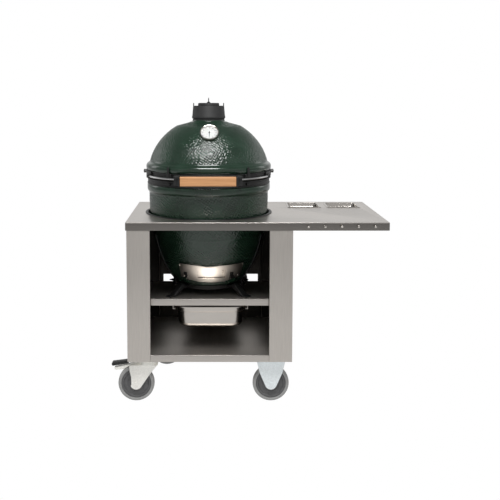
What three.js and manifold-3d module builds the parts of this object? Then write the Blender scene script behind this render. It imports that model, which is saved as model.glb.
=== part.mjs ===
// A ceramic kamado charcoal grill standing in a stainless-steel cart.
// Millimetres, +Z up. The design frame has X = 0 at the cabinet's centre, Y = 0 at the
// grill's own axis (the cook stands at -Y) and Z = 0 on the floor. The exported group is
// moved so that its origin is the centre of the bottom of the whole object's box.
import * as THREE from "three";
import { mergeVertices } from "three/addons/utils/BufferGeometryUtils.js";
import Module from "manifold-3d";

const wasm = await Module();
wasm.setup();

// ---------------------------------------------------------------- driving dimensions
const GAP = 0.3; // air left between pieces that touch
const SHEET = 2; // stainless sheet of the cabinet
const ROUND = 32; // facets of the large turned pieces, shared so that nested rings stay clear

const WORKTOP = { left: -362, right: 770, front: -345, back: 345, top: 805, fold: 35, sheet: 3 };
const CABINET = { half: 357.5, front: -341.7, back: 308, bottom: 193, column: 100, hem: 14 };
const FLOOR_TOP = 223.4; // cabinet floor, level with the top of the front rail
const SHELF = { top: 440, front: -323, lip: 27, notchFrom: 149, tongue: 183 };
const BACK_WINDOW = { inner: 108, outer: 239, bottom: 333, top: 441 };

const ASH_PAN = { x: 2, width: 325, front: -232, length: 530, top: 408.5, depth: 100, rim: 12 };
const SIDE_PANS = { centres: [454.5, 644], y: 212, width: 162, length: 176, depth: 100, rim: 10 };
const PEGS = { count: 5, first: 422, pitch: 71.4, z: 789, radius: 5, reach: 12 };

const WHEEL = { radius: 80, width: 38, bore: 6.3 };
const CASTER_Y = [-274, 228];
const SWIVEL_X = -272;
const FIXED_X = 269;
const TRAIL = 53;

const KAMADO_X = -7;
const BOWL = { radius: 275.6, bottom: 485, shoulder: 890, height: 465, power: 2.2, foot: 146 };
const RIM = { radius: 279, inner: 255, baseTop: 968.7, lidBottom: 977.2 };
const BAND = { inner: 279.3, outer: 284, height: 26 };
const DOME = { radius: 280, height: 262, centre: 983, wall: 22 };
const NECK = { radius: 75, bore: 52, bottom: 1226, top: 1232 };
const VENT = { radius: 77, topRadius: 71.5, deck: 1291, top: 1310, slots: 4, tip: 1335 };
const HINGE = { y: 318, z: 973, pin: 4.7, half: 68 };
const GRIP = { half: 120, height: 41, depth: 24, y: -333, z: 980 };
const ROD = { radius: 4.5, path: 302, z: 982 };
const DIAL = { x: 4.5, r: 188.5, z: 1176.7, elevation: 44, radius: 42 };
const DRAFT = {
  turn: 4.1, halfTop: 146, halfBottom: 134, top: 592, bottom: 508, // outline of the frame plate
  window: 62, panel: 18, pocket: 34.5, // window half width, then half angles of panels and pocket
};

// ---------------------------------------------------------------- materials
const finish = (color, roughness, metalness) =>
  new THREE.MeshStandardMaterial({ color, roughness, metalness });
const STEEL = finish(0xa8a19b, 0.38, 1);
const BRIGHT_STEEL = finish(0xd8d4ce, 0.15, 1);
const ZINC = finish(0xcdd0cb, 0.35, 1);
const GREEN_GLAZE = finish(0x26402f, 0.22, 0);
const BLACK_STEEL = finish(0x1c1c1b, 0.5, 0.3);
const CAST_IRON = finish(0x2b2a29, 0.7, 0.4);
const WOOD = finish(0xc99663, 0.55, 0);
const RUBBER = finish(0x8b8b89, 0.8, 0);
const FELT = finish(0x33312c, 0.95, 0);
const FIRECLAY = finish(0xb7a488, 0.9, 0);
const PAPER_WHITE = finish(0xf2f1ec, 0.6, 0);
const GLASS = finish(0xffffff, 0.05, 0);

// ---------------------------------------------------------------- shape helpers
const rad = THREE.MathUtils.degToRad;
const sorted = (a, b) => [Math.min(a, b), Math.max(a, b)];

function toSolid(geometry) {
  const bare = geometry.clone();
  bare.deleteAttribute("normal");
  bare.deleteAttribute("uv");
  const merged = mergeVertices(bare, 1e-4);
  const mesh = new wasm.Mesh({
    numProp: 3,
    vertProperties: new Float32Array(merged.attributes.position.array),
    triVerts: new Uint32Array(merged.index.array),
  });
  return new wasm.Manifold(mesh);
}

function toGeometry(solid) {
  const mesh = solid.getMesh();
  const geometry = new THREE.BufferGeometry();
  geometry.setAttribute("position", new THREE.BufferAttribute(mesh.vertProperties, 3));
  geometry.setIndex(new THREE.BufferAttribute(mesh.triVerts, 1));
  return geometry;
}

const join = (...shapes) => toGeometry(shapes.map(toSolid).reduce((all, one) => all.add(one)));
const cut = (shape, ...tools) =>
  toGeometry(tools.map(toSolid).reduce((left, tool) => left.subtract(tool), toSolid(shape)));
const meet = (a, b) => toGeometry(toSolid(a).intersect(toSolid(b)));

// A box from its lowest to its highest corner.
function box(x0, x1, y0, y1, z0, z1) {
  const geometry = new THREE.BoxGeometry(x1 - x0, y1 - y0, z1 - z0);
  return geometry.translate((x0 + x1) / 2, (y0 + y1) / 2, (z0 + z1) / 2);
}

// A shape of [x, y] points, with optional holes, raised along Z from z0 to z1.
function prismZ(points, z0, z1, holes = []) {
  const shape = new THREE.Shape(points.map(([x, y]) => new THREE.Vector2(x, y)));
  shape.holes = holes.map((hole) => new THREE.Path(hole.map(([x, y]) => new THREE.Vector2(x, y))));
  const geometry = new THREE.ExtrudeGeometry(shape, { depth: z1 - z0, bevelEnabled: false });
  return geometry.translate(0, 0, z0);
}

// The same for [x, z] points drawn out along Y, and for [y, z] points along X.
const prismY = (points, y0, y1, holes) =>
  prismZ(points, 0, y1 - y0, holes).rotateX(Math.PI / 2).translate(0, y1, 0);
const prismX = (points, x0, x1, holes) =>
  prismZ(points, 0, x1 - x0, holes)
    .rotateX(Math.PI / 2)
    .rotateZ(Math.PI / 2)
    .translate(x0, 0, 0);

// Points of a circle, an arc or a rounded bar, as [a, b] pairs.
function arc(cx, cy, radius, from, to, steps) {
  return Array.from({ length: steps + 1 }, (_, i) => {
    const angle = rad(from + ((to - from) * i) / steps);
    return [cx + radius * Math.cos(angle), cy + radius * Math.sin(angle)];
  });
}
const circle = (cx, cy, radius, sides = 16) => arc(cx, cy, radius, 0, 360, sides).slice(0, sides);

// A closed [radius, z] outline spun about Z.
function lathe(outline, segments = ROUND) {
  const points = outline.map(([r, z]) => new THREE.Vector2(r, z));
  const onAxis = outline[0][0] === 0 && outline.at(-1)[0] === 0;
  if (!onAxis) points.push(points[0].clone());
  if (THREE.ShapeUtils.area(points) < 0) points.reverse();
  return new THREE.LatheGeometry(points, segments).rotateX(Math.PI / 2);
}

// A round bar between two heights, or along X or Y by turning it.
const rodZ = (x, y, radius, z0, z1, sides = 16) => prismZ(circle(x, y, radius, sides), z0, z1);
const rodX = (y, z, radius, x0, x1, sides = 16) => prismX(circle(y, z, radius, sides), x0, x1);
const rodY = (x, z, radius, y0, y1, sides = 16) => prismY(circle(x, z, radius, sides), y0, y1);

// A round tube laid along a list of points.
function tube(points, radius, steps, sides) {
  const path = new THREE.CatmullRomCurve3(points.map((p) => new THREE.Vector3(...p)));
  const shape = new THREE.Shape(circle(0, 0, radius, sides).map(([x, y]) => new THREE.Vector2(x, y)));
  return new THREE.ExtrudeGeometry(shape, { steps, extrudePath: path });
}

// ---------------------------------------------------------------- scene helpers
const grill = new THREE.Group();

function add(parent, name, geometry, material) {
  const mesh = new THREE.Mesh(geometry, material);
  mesh.name = name;
  parent.add(mesh);
  return mesh;
}

function subgroup(parent, x, y, z) {
  const group = new THREE.Group();
  group.position.set(x, y, z);
  parent.add(group);
  return group;
}

// ---------------------------------------------------------------- cart: worktop
const panHole = (x) => {
  const w = SIDE_PANS.width / 2 - 6;
  const l = SIDE_PANS.length / 2 - 6;
  return box(x - w, x + w, SIDE_PANS.y - l, SIDE_PANS.y + l, 780, 820);
};

function makeWorktop() {
  const { left, right, front, back, top, fold, sheet } = WORKTOP;
  const slab = box(left, right, front, back, top - fold, top);
  const inside = box(
    left + sheet, right - sheet, front + sheet, back - sheet, top - fold - 1, top - sheet,
  );
  const bowlHole = rodZ(KAMADO_X, 0, 284, 780, 820, ROUND);
  const pegHoles = pegPositions().map((x) => rodY(x, PEGS.z, PEGS.radius + GAP, -350, -335, 8));
  const shell = cut(slab, inside, bowlHole, ...SIDE_PANS.centres.map(panHole), ...pegHoles);
  add(grill, "worktop", shell, STEEL);

  const under = top - 18;
  const ring = [
    [281.5, under], [283.5, under], [283.5, top + GAP], [293.5, top + GAP],
    [293.5, top + 2], [291, top + 3], [281.5, top + 3],
  ];
  add(subgroup(grill, KAMADO_X, 0, 0), "worktop_ring", lathe(ring), BLACK_STEEL);
}

const pegPositions = () =>
  Array.from({ length: PEGS.count }, (_, i) => PEGS.first + i * PEGS.pitch);

function makeToolPegs() {
  const inner = WORKTOP.front + WORKTOP.sheet + GAP;
  const ends = [PEGS.first - 20, PEGS.first + (PEGS.count - 1) * PEGS.pitch + 20];
  const strip = box(ends[0], ends[1], inner, inner + SHEET, PEGS.z - 9, PEGS.z + 9);
  const tip = WORKTOP.front - PEGS.reach;
  const pegs = pegPositions().flatMap((x) => [
    rodY(x, PEGS.z, PEGS.radius, tip + 1, inner + 1, 8),
    rodY(x, PEGS.z, PEGS.radius + 1.5, tip, tip + 3, 8),
  ]);
  add(grill, "tool_peg_rail", join(strip, ...pegs), BRIGHT_STEEL);
}

// A steel food pan hanging by its rim: x and y are its centre.
function panShape(x, y, width, length, top, depth, rim) {
  const wall = 1.5;
  const w = width / 2 - rim;
  const l = length / 2 - rim;
  const flange = box(x - width / 2, x + width / 2, y - length / 2, y + length / 2, top - 2, top);
  const draft = 0.94;
  const outer = taperedBox(x, y, w, l, top - depth, top - 1, draft);
  const inner = taperedBox(x, y, w - wall, l - wall, top - depth + wall, top + 1, draft);
  return cut(join(flange, outer), inner);
}

// A four-sided block whose foot is smaller than its top by the given ratio.
function taperedBox(x, y, halfWidth, halfLength, z0, z1, ratio) {
  const block = new THREE.BoxGeometry(2 * halfWidth, 2 * halfLength, z1 - z0);
  const corners = block.attributes.position;
  for (let i = 0; i < corners.count; i += 1) {
    if (corners.getZ(i) < 0) {
      corners.setX(i, corners.getX(i) * ratio);
      corners.setY(i, corners.getY(i) * ratio);
    }
  }
  return block.translate(x, y, (z0 + z1) / 2);
}

function makeSidePans() {
  const { centres, y, width, length, depth, rim } = SIDE_PANS;
  centres.forEach((x, i) => {
    const top = WORKTOP.top + 2 + GAP;
    const pan = panShape(x, y, width, length, top, depth, rim);
    add(grill, i === 0 ? "worktop_pan_left" : "worktop_pan_right", pan, BRIGHT_STEEL);
  });
}

// ---------------------------------------------------------------- cart: cabinet
// A side panel folded into a C: front flange, side and back flange, each with a small hem.
function sidePanel(side) {
  const { half, front, back, column, hem, bottom } = CABINET;
  const x = (depth) => side * (half - depth);
  const s = SHEET;
  const outline = [
    [x(0), front], [x(column), front], [x(column), front + hem], [x(column - s), front + hem],
    [x(column - s), front + s], [x(s), front + s], [x(s), back - s], [x(column - s), back - s],
    [x(column - s), back - hem], [x(column), back - hem], [x(column), back], [x(0), back],
  ];
  return prismZ(outline, bottom, WORKTOP.top - WORKTOP.sheet - GAP);
}

function makeCabinet() {
  const { half, front, back, column, bottom } = CABINET;
  add(grill, "side_panel_left", sidePanel(-1), STEEL);
  add(grill, "side_panel_right", sidePanel(1), STEEL);

  const inner = half - column - 0.5;
  const wide = half - SHEET - 0.5;
  const clear = front + CABINET.hem + 1;
  const rear = back - CABINET.hem - 1;

  // The floor is a tray with its front edge folded down as the rail between the columns.
  const floorOutline = [
    [-inner, front], [inner, front], [inner, clear], [wide, clear],
    [wide, rear], [-wide, rear], [-wide, clear], [-inner, clear],
  ];
  const floor = prismZ(floorOutline, FLOOR_TOP - SHEET, FLOOR_TOP);
  const rail = box(-inner, inner, front, front + SHEET, bottom, FLOOR_TOP - 1);
  const backFold = box(-inner, inner, rear - SHEET, rear, bottom, FLOOR_TOP - 1);
  add(grill, "bottom_panel", join(floor, rail, backFold), STEEL);

  const window = (side) => {
    const x = sorted(side * BACK_WINDOW.inner, side * BACK_WINDOW.outer);
    return box(x[0], x[1], back - 10, back + 10, BACK_WINDOW.bottom, BACK_WINDOW.top);
  };
  const sheet = box(-inner, inner, back - SHEET, back, bottom, WORKTOP.top - WORKTOP.sheet - GAP);
  add(grill, "back_panel", cut(sheet, window(-1), window(1)), STEEL);

  [["left", -1], ["right", 1]].forEach(([name, side]) => {
    const centre = side * 266;
    const top = FLOOR_TOP - SHEET - GAP;
    const section = [
      [centre - 70, top], [centre - 70, bottom + GAP], [centre + 70, bottom + GAP],
      [centre + 70, top], [centre + 67, top], [centre + 67, bottom + 3],
      [centre - 67, bottom + 3], [centre - 67, top],
    ];
    add(grill, `caster_rail_${name}`, prismY(section, clear + 1, rear - SHEET - 1), STEEL);
  });
}

function makeShelf() {
  const { top, front, lip, notchFrom, tongue } = SHELF;
  const wide = CABINET.half - SHEET - 0.5;
  const back = CABINET.back - SHEET - GAP;
  const outline = [
    [-wide, front], [wide, front], [wide, notchFrom], [tongue, notchFrom],
    [tongue, back], [-tongue, back], [-tongue, notchFrom], [-wide, notchFrom],
  ];
  const plate = prismZ(outline, top - SHEET, top);
  const upstand = box(-wide, wide, front, front + SHEET, top - 1, top + lip);
  add(grill, "middle_shelf", join(plate, upstand), STEEL);

  const rimEdge = ASH_PAN.width / 2 + 1.5;
  const hang = SHELF.top - SHEET - GAP;
  const low = ASH_PAN.top - 2 - GAP;
  [["left", -1], ["right", 1]].forEach(([name, side]) => {
    const x = (offset) => ASH_PAN.x + side * (rimEdge + offset);
    const section = [
      [x(12), hang], [x(12), hang - 2], [x(2), hang - 2], [x(2), low - 2],
      [x(-9), low - 2], [x(-9), low], [x(0), low], [x(0), hang],
    ];
    add(grill, `pan_runner_${name}`, prismY(section, -250, 300), STEEL);
  });

  const middle = ASH_PAN.front + ASH_PAN.length / 2;
  const pan = panShape(
    ASH_PAN.x, middle, ASH_PAN.width, ASH_PAN.length, ASH_PAN.top, ASH_PAN.depth, ASH_PAN.rim,
  );
  add(grill, "ash_pan", pan, BRIGHT_STEEL);
}

// ---------------------------------------------------------------- cart: casters
function wheelShape() {
  const { radius, width, bore } = WHEEL;
  const w = width / 2;
  const half = [
    [bore, w - 2], [radius - 8, w - 2], [radius, w - 10],
  ];
  const mirrored = half.map(([r, z]) => [r, -z]).reverse();
  return lathe([...half, ...mirrored], 24).rotateX(Math.PI / 2);
}

// Outlines of the fork cheeks as [x, z] points, with the axle at x = 0.
const SWIVEL_CHEEK = [
  [-30, 166], [-28, 134], [-22, 112], [-21, 75], ...arc(0, 80, 26, 200, 330, 6),
  [50, 108], [64, 128], [95, 166],
];
const FIXED_CHEEK = [
  [-63, 184], [-50, 130], ...arc(0, 80, 26, 205, 335, 6), [50, 130], [63, 184],
];

function axle() {
  const reach = WHEEL.width / 2 + 7;
  return join(
    rodY(0, WHEEL.radius, 5.7, -reach, reach, 12),
    rodY(0, WHEEL.radius, 9, -reach - 3, -reach + 0.5, 6),
    rodY(0, WHEEL.radius, 9, reach - 0.5, reach + 3, 6),
  );
}

const CHEEK_Y = WHEEL.width / 2 + 3;

// A swivel caster: its frame of reference is the vertical swivel axis, the wheel trails to -X.
function makeSwivelCaster(name, y, facing) {
  const place = subgroup(grill, SWIVEL_X, y, 0);
  const plate = join(box(-69, 69, -55, 55, 189, CABINET.bottom), rodZ(0, 0, 30, 183, 190, 24));
  add(place, `caster_${name}_plate`, plate, ZINC);

  const turned = new THREE.Group();
  turned.rotation.z = facing < 0 ? 0 : Math.PI;
  place.add(turned);

  const atAxle = (shape) => shape.translate(-TRAIL, 0, 0);
  const crown = join(
    box(-83, 42, -CHEEK_Y - 3, CHEEK_Y + 3, 162, 166),
    rodZ(0, 0, 34, 165, 182.5, 24),
  );
  const tongue = prismY([
    [-79, 166], [-79, 159.5], [-93, 152], [-107, 143], [-140, 140], [-149, 142], [-149, 151],
  ], -12, 12);
  const fork = join(
    crown,
    tongue,
    atAxle(prismY(SWIVEL_CHEEK, -CHEEK_Y - 3, -CHEEK_Y)),
    atAxle(prismY(SWIVEL_CHEEK, CHEEK_Y, CHEEK_Y + 3)),
    atAxle(axle()),
  );
  add(turned, `caster_${name}_fork`, fork, ZINC);

  const wheel = atAxle(wheelShape().translate(0, 0, WHEEL.radius));
  add(turned, `caster_${name}_wheel`, wheel, RUBBER);

  // The pedal is a flat lever with a rounded toe, hinged across the fork just under its crown.
  const toe = arc(-153, 166.5, 8, 250, 80, 6);
  const pedal = prismY([[-86, 170], ...toe, [-96, 181.5], [-84, 183]], -17, 17);
  add(turned, `caster_${name}_pedal`, pedal, BLACK_STEEL);
}

function makeFixedCaster(name, y) {
  const place = subgroup(grill, FIXED_X, y, 0);
  const fork = join(
    box(-69, 69, -55, 55, 189, CABINET.bottom),
    box(-60, 60, -CHEEK_Y - 3, CHEEK_Y + 3, 182, 190),
    prismY(FIXED_CHEEK, -CHEEK_Y - 3, -CHEEK_Y),
    prismY(FIXED_CHEEK, CHEEK_Y, CHEEK_Y + 3),
    axle(),
  );
  add(place, `caster_${name}_fork`, fork, ZINC);
  add(place, `caster_${name}_wheel`, wheelShape().translate(0, 0, WHEEL.radius), RUBBER);
}

// ---------------------------------------------------------------- kamado: base
const kamado = subgroup(grill, KAMADO_X, 0, 0);

// Outer radius of the ceramic bowl at a height, a superellipse below its shoulder.
function bowlRadius(z) {
  if (z >= BOWL.shoulder) return BOWL.radius;
  const rise = (BOWL.shoulder - z) / BOWL.height;
  return BOWL.radius * (1 - rise ** BOWL.power) ** (1 / BOWL.power);
}

const heights = (from, to, steps) =>
  Array.from({ length: steps + 1 }, (_, i) => from + ((to - from) * i) / steps);

function makeBowl() {
  const low = BOWL.bottom + 6;
  const outside = [
    [BOWL.foot, BOWL.bottom],
    ...[low, 510, 545, 590, 650, 730, 820, 903].map((z) => [bowlRadius(z), z]),
    [282, 911], [284, 918], [284, 938], [281, 942.5], [RIM.radius, 943],
    [RIM.radius, RIM.baseTop],
  ];
  const inside = [
    [RIM.inner, RIM.baseTop], [RIM.inner, 930], [bowlRadius(880) - 24, 880],
    ...[790, 680, 580].map((z) => [bowlRadius(z) - 26, z]),
    [140, BOWL.bottom + 26], [0, BOWL.bottom + 26],
  ];
  const shell = lathe([[0, BOWL.bottom], ...outside, ...inside]);
  const port = box(-48, 48, -300, -100, 532, 570).rotateZ(rad(DRAFT.turn));
  add(kamado, "base_bowl", cut(shell, port), GREEN_GLAZE);

  add(kamado, "base_gasket", ringBlock(RIM.inner, RIM.radius, RIM.baseTop + GAP, 972.8), FELT);
  const bandTop = RIM.baseTop;
  const band = bandShape(bandTop - BAND.height + 0.8, bandTop);
  const bolts = [-37, 37].map((angle) => rodY(0, 956, 6, -290, -280, 6).rotateZ(rad(angle)));
  add(kamado, "base_band", join(band, ...bolts), BLACK_STEEL);
}

// A metal band around the rim, thickened along both edges.
function bandShape(z0, z1) {
  const { inner, outer } = BAND;
  return lathe([
    [inner, z0], [outer, z0], [outer - 2, z0 + 5], [outer - 2, z1 - 5], [outer, z1], [inner, z1],
  ]);
}

// ---------------------------------------------------------------- kamado: draft door
// A skin that follows the bowl, between two offsets from its outer surface.
function bowlSkin(inner, outer) {
  const levels = heights(490, 622, 6);
  const far = levels.map((z) => [bowlRadius(z) + outer, z]);
  const near = levels.map((z) => [bowlRadius(z) + inner, z]).reverse();
  return lathe([...far, ...near], 64);
}

// The draft frame's outline seen from the front, shrunk by a margin: both long edges rise
// towards the ends because the plate is wrapped around a tapering bowl.
function draftOutline(margin) {
  const { halfTop, halfBottom, top, bottom } = DRAFT;
  const steps = 6;
  const edge = (half, z, rise) =>
    Array.from({ length: steps + 1 }, (_, i) => {
      const t = (2 * i) / steps - 1;
      return [half * t, z + rise * t * t];
    });
  const lower = edge(halfBottom - margin, bottom + margin, 19);
  const upper = edge(halfTop - margin, top - margin, 8).reverse();
  return [...lower, ...upper];
}

function makeDraftDoor() {
  const place = new THREE.Group();
  place.rotation.z = rad(DRAFT.turn);
  kamado.add(place);
  const front = (outline) => prismY(outline, -320, -60);
  const rectangle = (half, z0, z1) => [[-half, z0], [half, z0], [half, z1], [-half, z1]];
  const sector = (half, z0, z1) =>
    prismZ([[0, 0], ...arc(0, 0, 320, -90 - half, -90 + half, 8)], z0, z1);

  const plate = meet(bowlSkin(1, 8.8), front(draftOutline(0)));
  const pocket = meet(bowlSkin(-5, 5.6), sector(DRAFT.pocket, 523.5, 580.5));
  const window = front(rectangle(DRAFT.window, 531, 572));
  const screws = [[-38.5, 590], [38.5, 590], [-37.5, 536], [37.5, 536]].map(([angle, z]) =>
    rodY(0, z, 4, -bowlRadius(z) - 10, -bowlRadius(z) - 6, 8).rotateZ(rad(angle)));
  add(place, "draft_frame", join(cut(plate, pocket, window), ...screws), BRIGHT_STEEL);

  // The door's right end is bent outwards as the pull that slides it.
  const panel = meet(bowlSkin(3.1, 4.8), sector(DRAFT.panel, 524.5, 579.5));
  const pull = meet(bowlSkin(3.6, 16), box(52, 54, -320, -60, 536, 567));
  add(place, "draft_door", join(panel, pull), BRIGHT_STEEL);

  // The spark screen is a thin panel pierced by a grid of holes.
  const sheet = meet(bowlSkin(0.8, 2.4), sector(DRAFT.panel, 524.5, 579.5));
  const rows = [538, 552, 566];
  const columns = [-10, 0, 10];
  const holes = rows.flatMap((z) =>
    columns.map((angle) => box(-6, 6, -320, -100, z - 5, z + 5).rotateZ(rad(angle))));
  add(place, "draft_screen", cut(sheet, ...holes), STEEL);
}

// ---------------------------------------------------------------- kamado: insides
function makeInsides() {
  const firebox = lathe([
    [0, 545], [118, 545], [165, 600], [192, 680], [200, 770], [182, 770],
    [174, 682], [148, 608], [112, 562], [0, 562],
  ], 24);
  const airHoles = Array.from({ length: 4 }, (_, i) =>
    box(-14, 14, -230, -120, 612, 640).rotateZ(rad(i * 90)));
  const ashHole = rodZ(0, 0, 55, 540, 570, 16);
  add(kamado, "firebox", cut(firebox, ashHole, ...airHoles), FIRECLAY);

  const ring = lathe([
    [200, 770.3], [204, 770.3], [226, 830], [232, 925], [214, 925], [186, 780], [186, 770.3],
  ], 24);
  add(kamado, "fire_ring", ring, FIRECLAY);

  const slots = heights(-75, 75, 5).map((y) => {
    const half = Math.sqrt(104 ** 2 - y ** 2) - 14;
    return box(-half, half, y - 6, y + 6, 560, 590);
  });
  add(kamado, "fire_grate", cut(rodZ(0, 0, 110, 571, 577, 24), ...slots), CAST_IRON);

  const hoop = lathe([[223, 926], [231, 926], [231, 933], [223, 933]], 24);
  const bars = heights(-190, 190, 10).map((x) => {
    const half = Math.sqrt(226 ** 2 - x ** 2);
    return box(x - 2.5, x + 2.5, -half, half, 927, 932);
  });
  const ties = [box(-226, 226, -3, 3, 927.5, 931.5)];
  add(kamado, "cooking_grid", join(hoop, ...bars, ...ties), BRIGHT_STEEL);
}

// ---------------------------------------------------------------- kamado: nest
// A steel ring under the bowl on four legs, with four arms that follow the bowl upwards.
function makeNest() {
  const clear = 2.5;
  const thick = 5;
  const hug = bowlRadius(502) + clear;
  const seat = BOWL.bottom - GAP;
  const ring = lathe([[139, 466], [146, 466], [146, seat], [139, seat]], 28);
  const foot = SHELF.top + GAP;
  const leg = prismX([
    [-142, 470], [-142, 482], [-160, 482], [-174, 491], [-182, 491], [-232, foot + 7],
    [-258, foot + 5], [-258, foot], [-228, foot], [-172, 470],
  ], -17, 17);
  const levels = [480, 512, 560, 625, 711];
  const near = levels.map((z) => [-bowlRadius(Math.max(z, 502)) - clear, z]);
  const far = levels.map((z) => [-bowlRadius(Math.max(z, 502)) - clear - thick, z]).reverse();
  const tab = [[-hug - thick, 470], [-142, 470], [-142, 476], [-hug, 476]];
  const arm = prismX([...near, ...far, ...tab], -13, 13);
  const legs = [45, 135, 225, 315].map((angle) => leg.clone().rotateZ(rad(angle)));
  const arms = [70, 110, 250, 290].map((angle) => arm.clone().rotateZ(rad(angle)));
  add(kamado, "nest", join(ring, ...legs, ...arms), BLACK_STEEL);
}

// ---------------------------------------------------------------- kamado: lid
const domeRadius = (z, shrink) => {
  const rise = (z - DOME.centre) / (DOME.height - shrink);
  return (DOME.radius - shrink) * Math.sqrt(1 - rise ** 2);
};

function makeLid() {
  const outside = [
    [RIM.radius, RIM.lidBottom], [RIM.radius, 1003.6], [284, 1004.5], [288.5, 1014], [289, 1026],
    [284, 1035], [274, 1042],
    ...[1060, 1095, 1130, 1162, 1186, 1203].map((z) => [domeRadius(z, 0), z]),
    [97, 1221], [NECK.radius, NECK.bottom], [NECK.radius, NECK.top],
  ];
  const inside = [
    [NECK.bore, NECK.top], [NECK.bore, 1208], [100, 1198],
    ...[1175, 1130, 1070].map((z) => [domeRadius(z, DOME.wall), z]),
    [RIM.inner, 1010], [RIM.inner, RIM.lidBottom],
  ];
  const shell = lathe([...outside, ...inside]);
  const tilt = rad(90 - DIAL.elevation);
  const hole = rodZ(0, 0, 12, -60, 30, 16).rotateX(tilt).translate(DIAL.x, -DIAL.r, DIAL.z);
  add(kamado, "lid_dome", cut(shell, hole), GREEN_GLAZE);

  const gasket = [
    [RIM.inner, 973.1], [RIM.radius, 973.1], [RIM.radius, RIM.lidBottom - GAP],
    [RIM.inner, RIM.lidBottom - GAP],
  ];
  add(kamado, "lid_gasket", lathe(gasket), FELT);

  // Two clips rise from the band over the edge of the dome's collar.
  const clip = join(
    box(-14, 14, -291, -282, 979, 1003),
    box(-6, 6, -295, -289.8, 985, 1032),
    box(-6, 6, -291, -286, 985, 1002),
  );
  const clips = [-37, 37].map((angle) => clip.clone().rotateZ(rad(angle)));
  const band = bandShape(RIM.lidBottom, RIM.lidBottom + BAND.height);
  add(kamado, "lid_band", join(band, ...clips), BLACK_STEEL);
}

// A rectangle with rounded corners, as [a, b] pairs.
function roundedRectangle(a0, a1, b0, b1, radius) {
  return [
    ...arc(a0 + radius, b0 + radius, radius, 180, 270, 3),
    ...arc(a1 - radius, b0 + radius, radius, 270, 360, 3),
    ...arc(a1 - radius, b1 - radius, radius, 0, 90, 3),
    ...arc(a0 + radius, b1 - radius, radius, 90, 180, 3),
  ];
}

// The handle rods sweep round the band from the grip, closing in on it towards their ends.
function handleRod(side, from, to, radius) {
  const points = heights(from, to, 8).map((angle) => {
    const closing = 10 * ((angle - 20) / 48) ** 2;
    const r = ROD.path - closing;
    return [side * r * Math.sin(rad(angle)), -r * Math.cos(rad(angle)), ROD.z];
  });
  return tube(points, radius, 14, 8);
}

function makeHandle() {
  const { half, height, depth, y, z } = GRIP;
  const front = y - depth / 2;
  const back = y + depth / 2;
  const low = z - height / 2;
  const high = z + height / 2;
  const section = roundedRectangle(front, back, low, high, 4);
  add(kamado, "handle_grip", prismX(section, -half, half), WOOD);

  // A black strap behind the grip, with a cap and a horn to the lid band at each end of it.
  const face = back + GAP;
  const strap = box(-half - 9, half + 9, face, face + 4, low - 1, high + 4);
  const ends = [-1, 1].flatMap((side) => {
    const cap = sorted(side * (half + GAP), side * (half + 9));
    const horn = sorted(side * (half + 4), side * (half + 27));
    return [
      box(cap[0], cap[1], front + 2, face + 4, low, high + 1),
      box(horn[0], horn[1], face, -230, low, high + 2),
    ];
  });
  const bandSpace = lathe([
    [0, 940], [BAND.outer + GAP, 940], [BAND.outer + GAP, 1004], [289.3, 1008], [289.3, 1030],
    [0, 1030],
  ]);
  const sockets = [-1, 1].map((side) => handleRod(side, 25, 50, ROD.radius + GAP));
  add(kamado, "handle_strap", cut(join(strap, ...ends), bandSpace, ...sockets), BLACK_STEEL);

  [["left", -1], ["right", 1]].forEach(([name, side]) => {
    add(kamado, `handle_rod_${name}`, handleRod(side, 25.2, 68, ROD.radius), BRIGHT_STEEL);

    // The rod ends in a lug on a plate that is bolted to the side of the lid band.
    const sector = prismZ([[0, 0], ...arc(0, 0, 330, 64 - 90, 96 - 90, 6)], 970, 1010);
    const plate = meet(ringBlock(BAND.outer + GAP, 289, 979, 1003), sector);
    const lug = box(-12, 12, -298, -278, 974, 991).rotateZ(rad(68));
    const bolt = rodX(0, 996, 9.5, 287, 301, 12);
    const made = cut(join(plate, lug, bolt), bandSpace, handleRod(1, 50, 68.2, ROD.radius + GAP));
    add(kamado, `handle_anchor_${name}`, side > 0 ? made : mirrorX(made), BLACK_STEEL);
  });
}

// The same shape on the other side of the YZ plane.
function mirrorX(geometry) {
  const mirrored = geometry.clone().scale(-1, 1, 1);
  const index = mirrored.index.array;
  for (let i = 0; i < index.length; i += 3) {
    [index[i + 1], index[i + 2]] = [index[i + 2], index[i + 1]];
  }
  return mirrored;
}

const ringBlock = (r0, r1, z0, z1) => lathe([[r0, z0], [r1, z0], [r1, z1], [r0, z1]]);

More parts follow.
